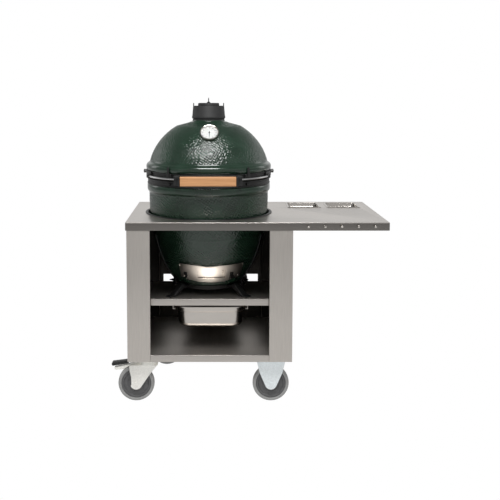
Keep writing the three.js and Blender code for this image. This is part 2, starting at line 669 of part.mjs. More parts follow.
// ---------------------------------------------------------------- kamado: hinge
function makeHinge() {
  const { y, z, pin, half } = HINGE;
  const rear = (x, z0, z1) =>
    meet(ringBlock(BAND.outer + GAP, 290, z0, z1), box(-x, x, 200, 300, z0 - 1, z1 + 1));
  const ear = (outline, x) =>
    [-1, 1].map((side) => {
      const at = sorted(side * x, side * (x + 6));
      return prismX(outline, at[0], at[1]);
    });
  const hole = rodX(y, z, pin + GAP, -100, 100, 16);
  const lowerEar = [[276, 946], [276, 966], [300, 980], ...arc(y, z, 11, 120, -60, 8), [300, 950]];
  const lower = join(rear(half, 945, 967), ...ear(lowerEar, half - 6));
  const shave = ringBlock(200, BAND.outer + GAP, 930, 1010);
  add(kamado, "hinge_lower", cut(lower, hole, shave), BLACK_STEEL);

  const upperEar = [[280, 982], [280, 1001], [306, 992], ...arc(y, z, 11, 60, -120, 8), [300, 974]];
  const upper = join(rear(34, 981, 1002), ...ear(upperEar, 26));
  add(kamado, "hinge_upper", cut(upper, hole, shave), BLACK_STEEL);

  const bolt = join(
    rodX(y, z, pin, -half - 5, half + 5, 16),
    rodX(y, z, 8, -half - 8, -half - 1, 12),
    rodX(y, z, 8, half + 1, half + 8, 12),
  );
  add(kamado, "hinge_pin", bolt, ZINC);
  [["left", -1], ["right", 1]].forEach(([name, side]) => {
    const at = sorted(side * 33, side * 61);
    const coil = prismX(circle(y, z, 9.5, 16), at[0], at[1], [circle(y, z, pin + GAP, 16)]);
    add(kamado, `hinge_spring_${name}`, coil, ZINC);
  });
}

// ---------------------------------------------------------------- kamado: vent cap
function ventSlots(z0, z1, turn) {
  return Array.from({ length: VENT.slots }, (_, i) => {
    const middle = (360 / VENT.slots) * i + turn;
    const outer = arc(0, 0, 62, middle - 20, middle + 20, 3);
    const inner = arc(0, 0, 49, middle + 20, middle - 20, 3);
    return prismZ([...outer, ...inner], z0, z1);
  });
}

function makeVent() {
  const { radius, topRadius, deck, top, tip } = VENT;
  const body = lathe([
    [4.7, deck - 4], [63, deck - 4], [67, 1246], [46, 1240], [46, 1214], [51.5, 1214],
    [51.5, NECK.top + GAP], [73, NECK.top + GAP], [73, 1238], [radius, 1241], [radius, 1247],
    [topRadius, 1297], [66.5, 1297], [66.5, deck], [4.7, deck],
  ], 28);
  const posts = [0, 180].map((angle) =>
    prismZ([[67, -4], [71, -4], [71, 4], [67, 4]], 1290, top).rotateZ(rad(angle)));
  const base = cut(join(body, ...posts), ...ventSlots(deck - 10, deck + 5, 0));
  add(kamado, "vent_body", base, CAST_IRON);

  const disc = lathe([
    [4.7, deck + GAP], [65.8, deck + GAP], [65.8, deck + 5], [56, deck + 6], [46, top], [4.7, top],
  ], 28);
  const hollow = lathe([[4.7, deck], [40, deck], [40, top - 6], [10, top - 6], [4.7, top - 6]], 24);
  const turning = cut(disc, hollow, ...ventSlots(deck - 10, top + 5, 45));
  add(kamado, "vent_disc", turning, CAST_IRON);

  const pivot = lathe([
    [0, deck - 12], [8, deck - 12], [8, deck - 4 - GAP], [4.2, deck - 4 - GAP],
    [4.2, top + GAP], [8, top + GAP], [8, top + 4], [2.5, top + 7], [0, tip],
  ], 12);
  add(kamado, "vent_pivot", pivot, ZINC);
}

// ---------------------------------------------------------------- kamado: thermometer
function makeThermometer() {
  const place = subgroup(kamado, DIAL.x, -DIAL.r, DIAL.z);
  place.rotation.x = rad(90 - DIAL.elevation);
  const r = DIAL.radius;
  const housing = lathe([
    [0, -70], [3, -70], [3, -26], [8, -24], [8, 2], [r - 3, 2.5], [r, 5], [r, 12],
    [r - 2, 14], [r - 4, 14], [r - 4, 6], [0, 6],
  ], 24);
  add(place, "thermometer_case", housing, BRIGHT_STEEL);
  add(place, "thermometer_dial", rodZ(0, 0, r - 5, 6.3, 7.3, 24), PAPER_WHITE);
  const pointer = join(
    prismZ([[-1.6, 8], [1.6, 8], [0.5, -29], [-0.5, -29]], 7.7, 8.6),
    rodZ(0, 0, 3.2, 7.7, 9.2, 12),
  );
  add(place, "thermometer_needle", pointer, BLACK_STEEL);
  add(place, "thermometer_lens", rodZ(0, 0, r - 5, 10.5, 12, 24), GLASS);
}

// ---------------------------------------------------------------- assembly
makeWorktop();
makeToolPegs();
makeSidePans();
makeCabinet();
makeShelf();
makeSwivelCaster("front_left", CASTER_Y[0], -1);
makeSwivelCaster("rear_left", CASTER_Y[1], 1);
makeFixedCaster("front_right", CASTER_Y[0]);
makeFixedCaster("rear_right", CASTER_Y[1]);
makeBowl();
makeDraftDoor();
makeInsides();
makeNest();
makeLid();
makeHandle();
makeHinge();
makeVent();
makeThermometer();

// The origin is the centre of the bottom of the whole object's box.
const whole = new THREE.Box3().setFromObject(grill, true);
const middle = whole.getCenter(new THREE.Vector3());
grill.position.set(-middle.x, -middle.y, -whole.min.z);

export default grill;
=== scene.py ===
"""Looks of a ceramic kamado grill in a stainless cart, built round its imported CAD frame.

Shapes are laid out in millimetres in the cart's own frame: X = 0 at the middle of the cabinet,
Y = 0 at the axis of the kamado with the cook at -Y, and Z = 0 on the floor.
"""

import math

import bpy
import numpy as np
from mathutils import Euler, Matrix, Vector
from mathutils.geometry import tessellate_polygon
from mathutils.kdtree import KDTree


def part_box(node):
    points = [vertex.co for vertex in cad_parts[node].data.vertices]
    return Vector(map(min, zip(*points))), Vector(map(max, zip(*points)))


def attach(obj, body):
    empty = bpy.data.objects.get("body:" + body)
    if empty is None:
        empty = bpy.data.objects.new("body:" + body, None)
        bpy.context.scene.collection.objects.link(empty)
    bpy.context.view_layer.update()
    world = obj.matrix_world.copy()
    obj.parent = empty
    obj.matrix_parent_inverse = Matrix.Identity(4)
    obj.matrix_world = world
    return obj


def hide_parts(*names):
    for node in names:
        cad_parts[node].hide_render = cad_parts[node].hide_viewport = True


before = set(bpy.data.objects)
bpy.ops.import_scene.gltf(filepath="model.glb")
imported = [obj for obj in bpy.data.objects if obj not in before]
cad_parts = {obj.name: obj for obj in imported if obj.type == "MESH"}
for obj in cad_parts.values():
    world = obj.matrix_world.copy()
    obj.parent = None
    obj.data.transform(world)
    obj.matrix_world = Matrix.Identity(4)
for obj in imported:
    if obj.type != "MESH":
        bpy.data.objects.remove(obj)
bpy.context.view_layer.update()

# -------------------- frame of reference
MM = 0.001


def middle(node, axis):
    low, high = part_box(node)
    return (low[axis] + high[axis]) / 2 / MM


ORIGIN = np.array([middle("bottom_panel", 0), middle("base_bowl", 1), 0.0])
KAMADO = np.array([middle("base_bowl", 0) - ORIGIN[0], 0.0, 0.0])


class Box:
    """The box of a CAD node in the cart's frame, in millimetres."""

    def __init__(self, node):
        low, high = (np.array(corner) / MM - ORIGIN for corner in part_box(node))
        self.x0, self.y0, self.z0 = low
        self.x1, self.y1, self.z1 = high
        self.cx, self.cy, self.cz = (low + high) / 2


# -------------------- shapes: (points, faces)
def join(*shapes):
    points, faces, start = [], [], 0
    for p, f in shapes:
        points.append(np.asarray(p, float).reshape(-1, 3))
        faces += [tuple(i + start for i in face) for face in f]
        start += len(p)
    return np.concatenate(points), faces


def moved(shape, by=(0, 0, 0), turn=(0, 0, 0)):
    """The shape turned by Euler degrees about its frame's origin, then moved."""
    matrix = np.array(Euler([math.radians(t) for t in turn]).to_matrix())
    return np.asarray(shape[0]) @ matrix.T + np.array(by, float), shape[1]


def around(shape, angle):
    """The shape turned about the upright axis of its frame."""
    return moved(shape, turn=(0, 0, angle))


def flipped(shape):
    """The shape with its faces turned to the other side."""
    return shape[0], [tuple(reversed(f)) for f in shape[1]]


def mirrored(shape):
    """The shape's mirror image, left for right."""
    return flipped((np.array(shape[0], float) * (-1, 1, 1), shape[1]))


def stitched(rings, closed=True, cap_start=False, cap_end=False, loop=False):
    """A skin over rings that all have the same number of points."""
    n, rows = len(rings[0]), len(rings)
    faces = []
    columns = n if closed else n - 1
    for r in range(rows if loop else rows - 1):
        a, b = r * n, ((r + 1) % rows) * n
        faces += [(a + c, a + (c + 1) % n, b + (c + 1) % n, b + c) for c in range(columns)]
    if cap_start:
        faces.append(tuple(reversed(range(n))))
    if cap_end:
        faces.append(tuple(range((rows - 1) * n, rows * n)))
    return np.concatenate([np.asarray(r, float) for r in rings]), faces


def arc(cx, cy, radius, start, end, steps):
    angles = np.radians(np.linspace(start, end, steps + 1))
    return [(cx + radius * math.cos(a), cy + radius * math.sin(a)) for a in angles]


def circle(cx, cy, radius, sides=48):
    return arc(cx, cy, radius, 0, 360, sides)[:-1]


def rounded_rectangle(x0, x1, y0, y1, radius, steps=6):
    return (
        arc(x1 - radius, y1 - radius, radius, 0, 90, steps)
        + arc(x0 + radius, y1 - radius, radius, 90, 180, steps)
        + arc(x0 + radius, y0 + radius, radius, 180, 270, steps)
        + arc(x1 - radius, y0 + radius, radius, 270, 360, steps)
    )


def filleted(points, radius, steps=4):
    """The closed outline with each corner rounded, as far as its sides allow."""
    made, n = [], len(points)
    for i in range(n):
        before, corner, after = (np.array(points[(i + k) % n], float) for k in (-1, 0, 1))
        a, b = before - corner, after - corner
        reach = min(radius, 0.45 * np.linalg.norm(a), 0.45 * np.linalg.norm(b))
        start = corner + a / np.linalg.norm(a) * reach
        end = corner + b / np.linalg.norm(b) * reach
        for t in np.linspace(0, 1, steps + 1):
            made.append(tuple((1 - t) ** 2 * start + 2 * t * (1 - t) * corner + t * t * end))
    return made


def area(outline):
    p = np.array(outline)
    q = np.roll(p, -1, axis=0)
    return 0.5 * np.sum(p[:, 0] * q[:, 1] - q[:, 0] * p[:, 1])


def inset(outline, distance):
    """The anticlockwise outline moved inwards, or a clockwise hole moved outwards."""
    p = np.array(outline, float)
    edge = np.roll(p, -1, axis=0) - p
    length = np.linalg.norm(edge, axis=1, keepdims=True)
    normal = np.stack([-edge[:, 1], edge[:, 0]], axis=1) / np.maximum(length, 1e-9)
    before = np.roll(normal, 1, axis=0)
    mitre = before + normal
    scale = np.maximum(np.sum(mitre * normal, axis=1, keepdims=True), 0.35)
    return p + distance * mitre / scale


EDGE_TURNS = (0, 0.52, 1.05, 1.5708)  # a quarter turn in three steps
UPRIGHT = {
    "Z": lambda u, v, w: (u, v, w),
    "Y": lambda u, v, w: (u, -w, v),
    "X": lambda u, v, w: (w, u, v),
}


def plate(outline, w0, w1, holes=(), edge=0.6, along="Z"):
    """An outline, with holes, raised from w0 to w1 with softened edges.

    Along Z the outline is (x, y); along X it is (y, z); along Y it is (x, z), and w is y.
    The edge is one radius, or a (low end, high end) pair.
    """
    low, high = edge if isinstance(edge, tuple) else (edge, edge)
    if along == "Y":
        w0, w1, low, high = -w1, -w0, high, low
    loops = [list(outline) if area(outline) > 0 else list(outline)[::-1]]
    loops += [list(h) if area(h) < 0 else list(h)[::-1] for h in holes]
    low, high = (min(e, (w1 - w0) * 0.45) for e in (low, high))
    bends = [(1 - math.sin(t), 1 - math.cos(t)) for t in EDGE_TURNS]
    levels = [(low * d, w0 + low * h) for d, h in (bends if low else bends[-1:])]
    levels += [(high * d, w1 - high * h) for d, h in (bends[::-1] if high else bends[-1:])]
    points, faces = [], []
    ends = {0: [], len(levels) - 1: []}
    start = 0
    for loop in loops:
        n = len(loop)
        rings = [[(*p, w) for p in inset(loop, d)] for d, w in levels]
        skin, sides = stitched(rings)
        points.append(skin)
        faces += [tuple(i + start for i in f) for f in sides]
        for level, found in ends.items():
            found.append((start + level * n, [Vector((p[0], p[1], 0)) for p in rings[level]]))
        start += n * len(levels)
    for level, found in ends.items():
        numbers = [first + i for first, ring in found for i in range(len(ring))]
        flat = [p for _, ring in found for p in ring]
        for triangle in tessellate_polygon([ring for _, ring in found]):
            a, b, c = (flat[i] for i in triangle)
            turns_left = (b - a).cross(c - a).z > 0
            order = triangle if turns_left == (level > 0) else reversed(triangle)
            faces.append(tuple(numbers[i] for i in order))
    points = np.concatenate(points)
    return np.array([UPRIGHT[along](*p) for p in points]), faces


def block(x0, x1, y0, y1, z0, z1, edge=0.6, corner=None):
    outline = rounded_rectangle(x0, x1, y0, y1, corner or 1.3 * edge, 3)
    return plate(outline, z0, z1, edge=edge)


def lathe(profile, sides=96, start=0, end=360, closed=True):
    """A (radius, z) profile turned about Z; a part turn has flat ends."""
    whole = end - start >= 360
    if closed and area(profile) > 0:
        profile = profile[::-1]
    angles = np.radians(np.linspace(start, end, sides + 1))
    if whole:
        angles = angles[:-1]
    rings = [[(r * math.cos(a), r * math.sin(a), z) for r, z in profile] for a in angles]
    return stitched(rings, closed=closed, loop=whole, cap_start=not whole, cap_end=not whole)


def bar(radius, start, end, along="Z", at=(0, 0), sides=24, edge=0.6):
    """A round bar with softened ends."""
    return plate(circle(*at, radius, sides), start, end, edge=edge, along=along)


def tube(path, radius, sides=16):
    """A round wire laid along a list of points."""
    path = [Vector(p) for p in path]
    tangents = [
        (path[min(i + 1, len(path) - 1)] - path[max(i - 1, 0)]).normalized()
        for i in range(len(path))
    ]
    side = tangents[0].orthogonal().normalized()
    rings = []
    for i, (point, tangent) in enumerate(zip(path, tangents)):
        side = (side - tangent * side.dot(tangent)).normalized()
        up = tangent.cross(side)
        size = radius * (0.8 if i in (0, len(path) - 1) else 1)
        ring = [
            point + size * (math.cos(a) * side + math.sin(a) * up)
            for a in np.linspace(0, 2 * math.pi, sides + 1)[:-1]
        ]
        rings.append([tuple(p) for p in ring])
    return stitched(rings, cap_start=True, cap_end=True)


def bent_strip(path, half, thick):
    """A flat strip of half width along X, following a list of (y, z) points."""
    p = np.array(path, float)
    slope = np.gradient(p, axis=0)
    normal = np.stack([-slope[:, 1], slope[:, 0]], axis=1)
    normal /= np.linalg.norm(normal, axis=1, keepdims=True)
    rings = []
    for (y, z), (a, b) in zip(p, normal):
        y2, z2 = y + a * thick, z + b * thick
        rings.append([(-half, y, z), (half, y, z), (half, y2, z2), (-half, y2, z2)])
    return stitched(rings, cap_start=True, cap_end=True)


# -------------------- pieces
def piece(name, shape, material, body, nodes=(), at=(0, 0, 0), crease=32):
    points, faces = shape
    points = (np.asarray(points) + np.array(at) + ORIGIN) * MM
    mesh = bpy.data.meshes.new(name)
    mesh.from_pydata(points.tolist(), [], faces)
    mesh.validate()
    mesh.materials.append(material)
    mesh.shade_smooth()
    mesh.set_sharp_from_angle(angle=math.radians(crease))
    made = bpy.data.objects.new(name, mesh)
    bpy.context.scene.collection.objects.link(made)
    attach(made, body)
    if nodes:
        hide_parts(*nodes)
    return made


# -------------------- materials
WHITE = (1, 1, 1, 1)
WARM = (1.0, 0.94, 0.875)
GRAIN_DEPTH = 0.00002
# painted shade: the near-black colour laid on the cabinet's inner faces in place of their shadow
INSIDE_SHADE_COLOR = (0.05, 0.047, 0.043, 1)
# the front, in world metres along Y, behind which the inner faces get painted shade
COLUMN_FRONT = -0.325


class Nodes:
    """A small builder of node trees, whose inputs are given as values or as other outputs."""

    def __init__(self, tree):
        self.tree = tree

    def feed(self, socket, value):
        if isinstance(value, bpy.types.NodeSocket):
            self.tree.links.new(value, socket)
        else:
            socket.default_value = value

    def add(self, kind, inputs=None, **settings):
        node = self.tree.nodes.new("ShaderNode" + kind)
        for name, value in settings.items():
            setattr(node, name, value)
        for socket, value in (inputs or {}).items():
            self.feed(node.inputs[socket], value)
        return node

    def ramp(self, source, stops):
        node = self.add("ValToRGB", {"Fac": source})
        elements = node.color_ramp.elements
        while len(elements) < len(stops):
            elements.new(0.5)
        for element, (position, color) in zip(elements, stops):
            element.position = position
            element.color = (*color, 1)
        return node.outputs["Color"]

    def range(self, source, low, high, start=0.0):
        inputs = {"Value": source, "From Min": start, "To Min": low, "To Max": high}
        return self.add("MapRange", inputs).outputs["Result"]

    def math(self, kind, *values):
        return self.add("Math", dict(enumerate(values)), operation=kind).outputs[0]

    def mix(self, factor, first, second, kind="MIX"):
        inputs = {0: factor, 6: first, 7: second}
        return self.add("Mix", inputs, data_type="RGBA", blend_type=kind).outputs[2]

    def split(self, vector):
        return self.add("SeparateXYZ", {0: vector}).outputs


class Material(Nodes):
    """The nodes of one procedural material round its Principled shader."""

    def __init__(self, name):
        self.material = bpy.data.materials.new(name)
        self.material.use_nodes = True
        super().__init__(self.material.node_tree)
        self.shader = self.tree.nodes["Principled BSDF"]
        self.place = self.add("TexCoord").outputs["Object"]

    def set(self, **values):
        for name, value in values.items():
            self.feed(self.shader.inputs[name.replace("_", " ")], value)

    def noise(self, scale, stretch=(1, 1, 1), detail=3.0, rough=0.5):
        place = self.add("Mapping", {"Vector": self.place, "Scale": stretch}).outputs["Vector"]
        inputs = {"Vector": place, "Scale": scale, "Detail": detail, "Roughness": rough}
        return self.add("TexNoise", inputs).outputs["Fac"]

    def bump(self, source, distance, strength=1.0):
        inputs = {"Height": source, "Distance": distance, "Strength": strength}
        self.set(Normal=self.add("Bump", inputs).outputs["Normal"])


def grey(value, tint=(1.0, 1.0, 1.0)):
    return tuple(value * t for t in tint)


def steel(name, tone, roughness, grain=None, tint=WARM, with_inside_shade=False):
    """Stainless steel whose fine grain runs along one axis, or none when polished."""
    m = Material(name)
    m.set(Metallic=1.0)
    if grain is None:
        cloud = m.noise(9.0, detail=2.0)
        color = m.ramp(cloud, [(0.3, grey(tone * 0.95, tint)), (0.7, grey(tone, tint))])
        m.set(Base_Color=color, Roughness=m.range(cloud, roughness * 0.8, roughness * 1.25))
        m.bump(m.noise(220.0, detail=2.0), GRAIN_DEPTH)
        return m.material
    stretch = [1.0, 1.0, 1.0]
    stretch["XYZ".index(grain)] = 0.012
    lines = m.noise(1100.0, stretch, detail=4.0, rough=0.62)
    cloud = m.noise(3.5, detail=2.0)
    color = m.ramp(lines, [(0.25, grey(tone * 0.86, tint)), (0.75, grey(tone * 1.08, tint))])
    # painted shade on the faces inside the cabinet
    if with_inside_shade:
        color = painted_inside_shade(m, color)
    m.set(Base_Color=color, Roughness=m.range(cloud, roughness * 0.9, roughness * 1.15))
    m.bump(lines, GRAIN_DEPTH, 0.6)
    return m.material


def painted_inside_shade(m, color):
    """A sheet's colour with painted shade: near black on its faces towards the inside of the
    cabinet.
    """
    geometry = m.add("NewGeometry").outputs
    normal, place = m.split(geometry["Normal"]), m.split(geometry["Position"])
    inner = m.math("LESS_THAN", m.math("MULTIPLY", normal["X"], place["X"]), 0.05)
    behind = m.math("GREATER_THAN", place["Y"], COLUMN_FRONT)
    forward = m.math("LESS_THAN", normal["Y"], 0.5)
    shade_mask = m.math("MULTIPLY", inner, m.math("MULTIPLY", behind, forward))
    return m.mix(shade_mask, color, INSIDE_SHADE_COLOR)


def glaze(name):
    """Deep green glass-like glaze over ceramic, lighter where it runs thin."""
    m = Material(name)
    greens = [
        (0.28, (0.009, 0.024, 0.014)), (0.55, (0.013, 0.034, 0.020)),
        (0.8, (0.020, 0.045, 0.029)),
    ]
    m.set(Base_Color=m.ramp(m.noise(14.0, detail=4.0), greens))
    m.set(Roughness=m.range(m.noise(60.0), 0.13, 0.24))
    m.set(IOR=1.52, Coat_Weight=0.35, Coat_Roughness=0.06)
    m.bump(m.noise(380.0, detail=2.0), 0.00012, 0.4)
    return m.material


def paint(name, low, high, roughness, scale=40.0, depth=0.00003, glow=0.0):
    """A matt or satin finish with a faint cloud of tone, a fine orange peel and, when asked, a
    painted glow.
    """
    m = Material(name)
    cloud = m.noise(scale, detail=4.0)
    m.set(Base_Color=m.ramp(cloud, [(0.3, low), (0.7, high)]))
    m.set(Roughness=m.range(cloud, roughness * 0.88, min(1.0, roughness * 1.12)))
    m.set(Emission_Color=WHITE, Emission_Strength=glow)
    m.bump(m.noise(scale * 18, detail=3.0), depth)
    return m.material


def zinc(name, tint):
    """Passivated zinc: a light metal with a mottled spangle and a faint painted glow in its tint.
    """
    m = Material(name)
    flakes = m.add("TexVoronoi", {"Vector": m.place, "Scale": 160.0}).outputs["Distance"]
    tones = [(0.0, grey(0.80, tint)), (0.6, grey(0.88, tint)), (1.0, grey(0.94, tint))]
    m.set(Base_Color=m.ramp(flakes, tones), Roughness=m.range(m.noise(30.0), 0.3, 0.48))
    # painted light: a faint glow in the zinc's tint
    m.set(Metallic=0.35, Emission_Color=(*tint, 1), Emission_Strength=0.06)
    m.bump(m.noise(260.0), 0.00003)
    return m.material


def oak(name):
    """Oiled light oak with its grain along X."""
    m = Material(name)
    fibres = m.noise(260.0, (0.035, 1.0, 1.0), detail=6.0, rough=0.65)
    bands = m.noise(60.0, (0.03, 1.0, 1.6), detail=2.0)
    figure = m.math("MULTIPLY_ADD", fibres, 0.55, m.range(bands, 0.0, 0.45))
    tones = [
        (0.3, (0.40, 0.185, 0.075)), (0.5, (0.56, 0.285, 0.125)), (0.72, (0.68, 0.375, 0.18)),
    ]
    m.set(Base_Color=m.ramp(figure, tones), Roughness=m.range(fibres, 0.42, 0.62))
    m.bump(fibres, 0.00012, 0.6)
    return m.material


def glass(name):
    """Clear thin glass with a breath of unevenness."""
    m = Material(name)
    m.set(Base_Color=m.ramp(m.noise(8.0), [(0.0, (0.96, 0.97, 0.97)), (1.0, (1, 1, 1))]))
    m.set(Roughness=m.range(m.noise(25.0), 0.0, 0.03), Transmission_Weight=1.0, IOR=1.05)
    return m.material


TOP_STEEL = steel("worktop_steel", 0.67, 0.30, "X")
# painted shade: the worktop's own steel, made about three times darker for the front folds
SHADED_FOLD_STEEL = steel("worktop_fold_shaded_steel", 0.205, 0.34, "X")
# the columns and the back sheet carry painted shade on their inner faces
COLUMN_STEEL = steel("column_steel", 0.575, 0.42, "Z", with_inside_shade=True)
FLOOR_STEEL = steel("floor_sheet_steel", 0.66, 0.44, "Y")
# painted shade: a darker copy of the cabinet steel for the caster rails under the cabinet
SHADED_INNER_STEEL = steel("inner_sheet_shaded_steel", 0.26, 0.34, "Y")
RAIL_STEEL = steel("rail_steel", 0.55, 0.36, "X")
PAN_STEEL = steel("pan_steel", 0.56, 0.22)
BACK_STEEL = steel("back_sheet_steel", 0.56, 0.42, "Z", with_inside_shade=True)
BRIGHT_STEEL = steel("polished_steel", 0.70, 0.09)
ROD_STEEL = steel("rod_steel", 0.62, 0.24, tint=(1, 1, 1))
ZINC_WARM = zinc("zinc_warm", (1.0, 0.985, 0.93))
ZINC_COOL = zinc("zinc_cool", (0.93, 0.985, 1.0))
GLAZE = glaze("green_glaze")
BLACK = paint("black_powder_coat", grey(0.006), grey(0.010), 0.42)
IRON = paint("cast_iron", (0.013, 0.013, 0.014), grey(0.024), 0.58, depth=0.0002)
OAK = oak("oiled_oak")
TYRE = paint("grey_rubber", (0.30, 0.30, 0.295), (0.36, 0.36, 0.355), 0.62)
HUB = paint("dark_hub_plastic", (0.095, 0.095, 0.097), (0.125, 0.125, 0.127), 0.46)
FELT = paint("gasket_felt", (0.020, 0.019, 0.017), (0.055, 0.052, 0.045), 0.95, depth=0.0006)
CLAY = paint("fired_clay", (0.36, 0.29, 0.21), (0.50, 0.42, 0.32), 0.86, scale=18, depth=0.0005)
# painted light: the dial face glows faintly so that it reads as lit
DIAL_WHITE = paint("dial_white", (0.86, 0.86, 0.84), (0.92, 0.92, 0.90), 0.4, glow=0.06)
INK = paint("dial_ink", grey(0.012), grey(0.025), 0.5)
GLASS = glass("lens_glass")


# -------------------- kamado: ceramic shells
BOWL = {"radius": 275.6, "shoulder": 890.0, "depth": 465.0, "power": 2.2}
BOWL_FOOT, BOWL_WAIST, BOWL_COLLAR = 493, 708, 905
DOME = {"radius": 280.0, "centre": 983.0, "rise": 262.0, "wall": 22.0}
DOME_COLLAR, DOME_NECK = 1046, 1206
RIM_INNER, RIM_OUTER = 255.0, 279.0
SHELL_SIDES = 160
DIMPLE = {"pitch": 11.0, "depth": 2.0, "fade": 8.0, "stray": 1.8}
DIMPLE_SEED = 7
GOLDEN_ANGLE = math.pi * (3 - math.sqrt(5))


def bowl_radius(z):
    share = max(0.0, (BOWL["shoulder"] - z) / BOWL["depth"])
    return BOWL["radius"] * (1 - share ** BOWL["power"]) ** (1 / BOWL["power"])


def dome_radius(z, shrink=0.0):
    share = (z - DOME["centre"]) / (DOME["rise"] - shrink)
    return (DOME["radius"] - shrink) * math.sqrt(1 - share * share)


def resampled(line, step):
    p = np.array(line, float)
    along = np.concatenate([[0], np.cumsum(np.linalg.norm(np.diff(p, axis=0), axis=1))])
    at = np.linspace(0, along[-1], round(along[-1] / step) + 1)
    return np.stack([np.interp(at, along, p[:, k]) for k in (0, 1)], axis=1), at


def dimpled(profile, step, sides):
    """A turned skin, from its foot up, pressed all over with small round dimples."""
    line, along = resampled(profile, step)
    slope = np.gradient(line, axis=0)
    slope /= np.linalg.norm(slope, axis=1, keepdims=True)
    strips = np.pi * (line[1:, 0] + line[:-1, 0]) * np.diff(along)
    covered = np.concatenate([[0], np.cumsum(strips)])
    count = int(covered[-1] / (0.866 * DIMPLE["pitch"] ** 2))
    tree = KDTree(count)
    chance = np.random.default_rng(DIMPLE_SEED).uniform(-1, 1, (count, 2)) * DIMPLE["stray"]
    for i, (aside, ahead) in enumerate(chance):
        s = np.interp((i + 0.5) / count * covered[-1], covered, along) + ahead
        r, z = (np.interp(s, along, line[:, k]) for k in (0, 1))
        turn = i * GOLDEN_ANGLE + aside / r
        tree.insert((r * math.cos(turn), r * math.sin(turn), z), i)
    tree.balance()
    turns = np.linspace(0, 2 * math.pi, sides + 1)[:-1]
    rings = []
    for (r, z), (dr, dz), s in zip(line, slope, along):
        edge = min(s, along[-1] - s) / DIMPLE["fade"]
        depth = DIMPLE["depth"] * min(1.0, edge) ** 2 * (3 - 2 * min(1.0, edge))
        ring = []
        for a in turns:
            x, y = math.cos(a), math.sin(a)
            far = tree.find((r * x, r * y, z))[2] / (0.56 * DIMPLE["pitch"])
            press = depth * (1 - min(1.0, far) ** 2)
            ring.append(((r - press * dz) * x, (r - press * dz) * y, z + press * dr))
        rings.append(ring)
    return stitched(rings)


def make_bowl():
    lower = [(bowl_radius(z), z) for z in np.linspace(BOWL_FOOT, BOWL_WAIST, 60)]
    upper = [(bowl_radius(z), z) for z in np.linspace(BOWL_WAIST, BOWL_COLLAR, 40)]
    foot = [(0, 485), (140, 485), (146, 486), (bowl_radius(489), 489)]
    foot.append((bowl_radius(BOWL_FOOT), BOWL_FOOT))
    collar = [
        (bowl_radius(BOWL_COLLAR), BOWL_COLLAR), (277.5, 907), (281, 910), (283.2, 914), (284, 919),
        (284, 936), (283, 940), (280.5, 942.6), (RIM_OUTER, 944), (RIM_OUTER, 968),
        (277.5, 968.7), (257, 968.7), (RIM_INNER, 967.4), (RIM_INNER, 930),
        (bowl_radius(880) - 24, 880),
    ]
    collar += [(bowl_radius(z) - 26, z) for z in np.linspace(840, 560, 14)]
    collar += [(140, 511), (0, 511)]
    shell = (lathe(line, SHELL_SIDES, closed=False) for line in (foot, collar))
    for name, shape, nodes in (
        ("bowl_upper_skin", dimpled(upper, 2.3, 720), ()),
        ("bowl_lower_skin", with_port(dimpled(lower, 2.3, 640)), ()),
        ("bowl_collar", join(*map(flipped, shell), draft_port()), ("base_bowl",)),
    ):
        piece(name, shape, GLAZE, "cart", nodes, KAMADO, crease=50)


# -------------------- kamado: draft door
DRAFT_TURN = 4.1
PORT = {"half": 48.0, "low": 532.0, "high": 570.0}
WINDOW = {"half": 62, "low": 531, "high": 572}
DOOR = {"turn": 18, "low": 524.5, "high": 579.5}
FRAME_OFFSETS, DOOR_OFFSETS, SCREEN_OFFSETS = (1, 8.8), (3.1, 4.8), (1.2, 1.8)


def with_port(shape):
    """The bowl's skin with the faces in front of the air port left out."""
    points, faces = shape
    local = around(shape, -DRAFT_TURN)[0]
    inside = (np.abs(local[:, 0]) < PORT["half"] - 2) & (local[:, 1] < 0)
    inside &= (local[:, 2] > PORT["low"] + 2) & (local[:, 2] < PORT["high"] - 2)
    return points, [f for f in faces if not inside[list(f)].all()]


def draft_port():
    """The walls of the air port through the bowl."""
    half, low, high = PORT["half"], PORT["low"], PORT["high"]
    near, far = -bowl_radius(low) + 6, -bowl_radius(low) + 34
    square = (-half, low), (half, low), (half, high), (-half, high)
    rings = [[(x, y, z) for x, z in square] for y in (near, far)]
    return around(stitched(rings), DRAFT_TURN)


def bent_plate(left, right, low, high, inner, outer, columns=28, rows=8):
    """A plate bent round the bowl. Left and right give x for a share of the height, low and
    high give z for an x, and inner and outer are offsets from the bowl."""
    rings = []
    for a in np.linspace(1, 0, columns + 1):
        front, back = [], []
        for b in np.linspace(0, 1, rows + 1):
            x = left(b) + (right(b) - left(b)) * a
            z = low(x) + (high(x) - low(x)) * b
            for side, offset in ((front, outer), (back, inner)):
                r = bowl_radius(z) + offset
                side.append((x, -math.sqrt(r * r - x * x), z))
        rings.append(front + back[::-1])
    return stitched(rings, cap_start=True, cap_end=True)


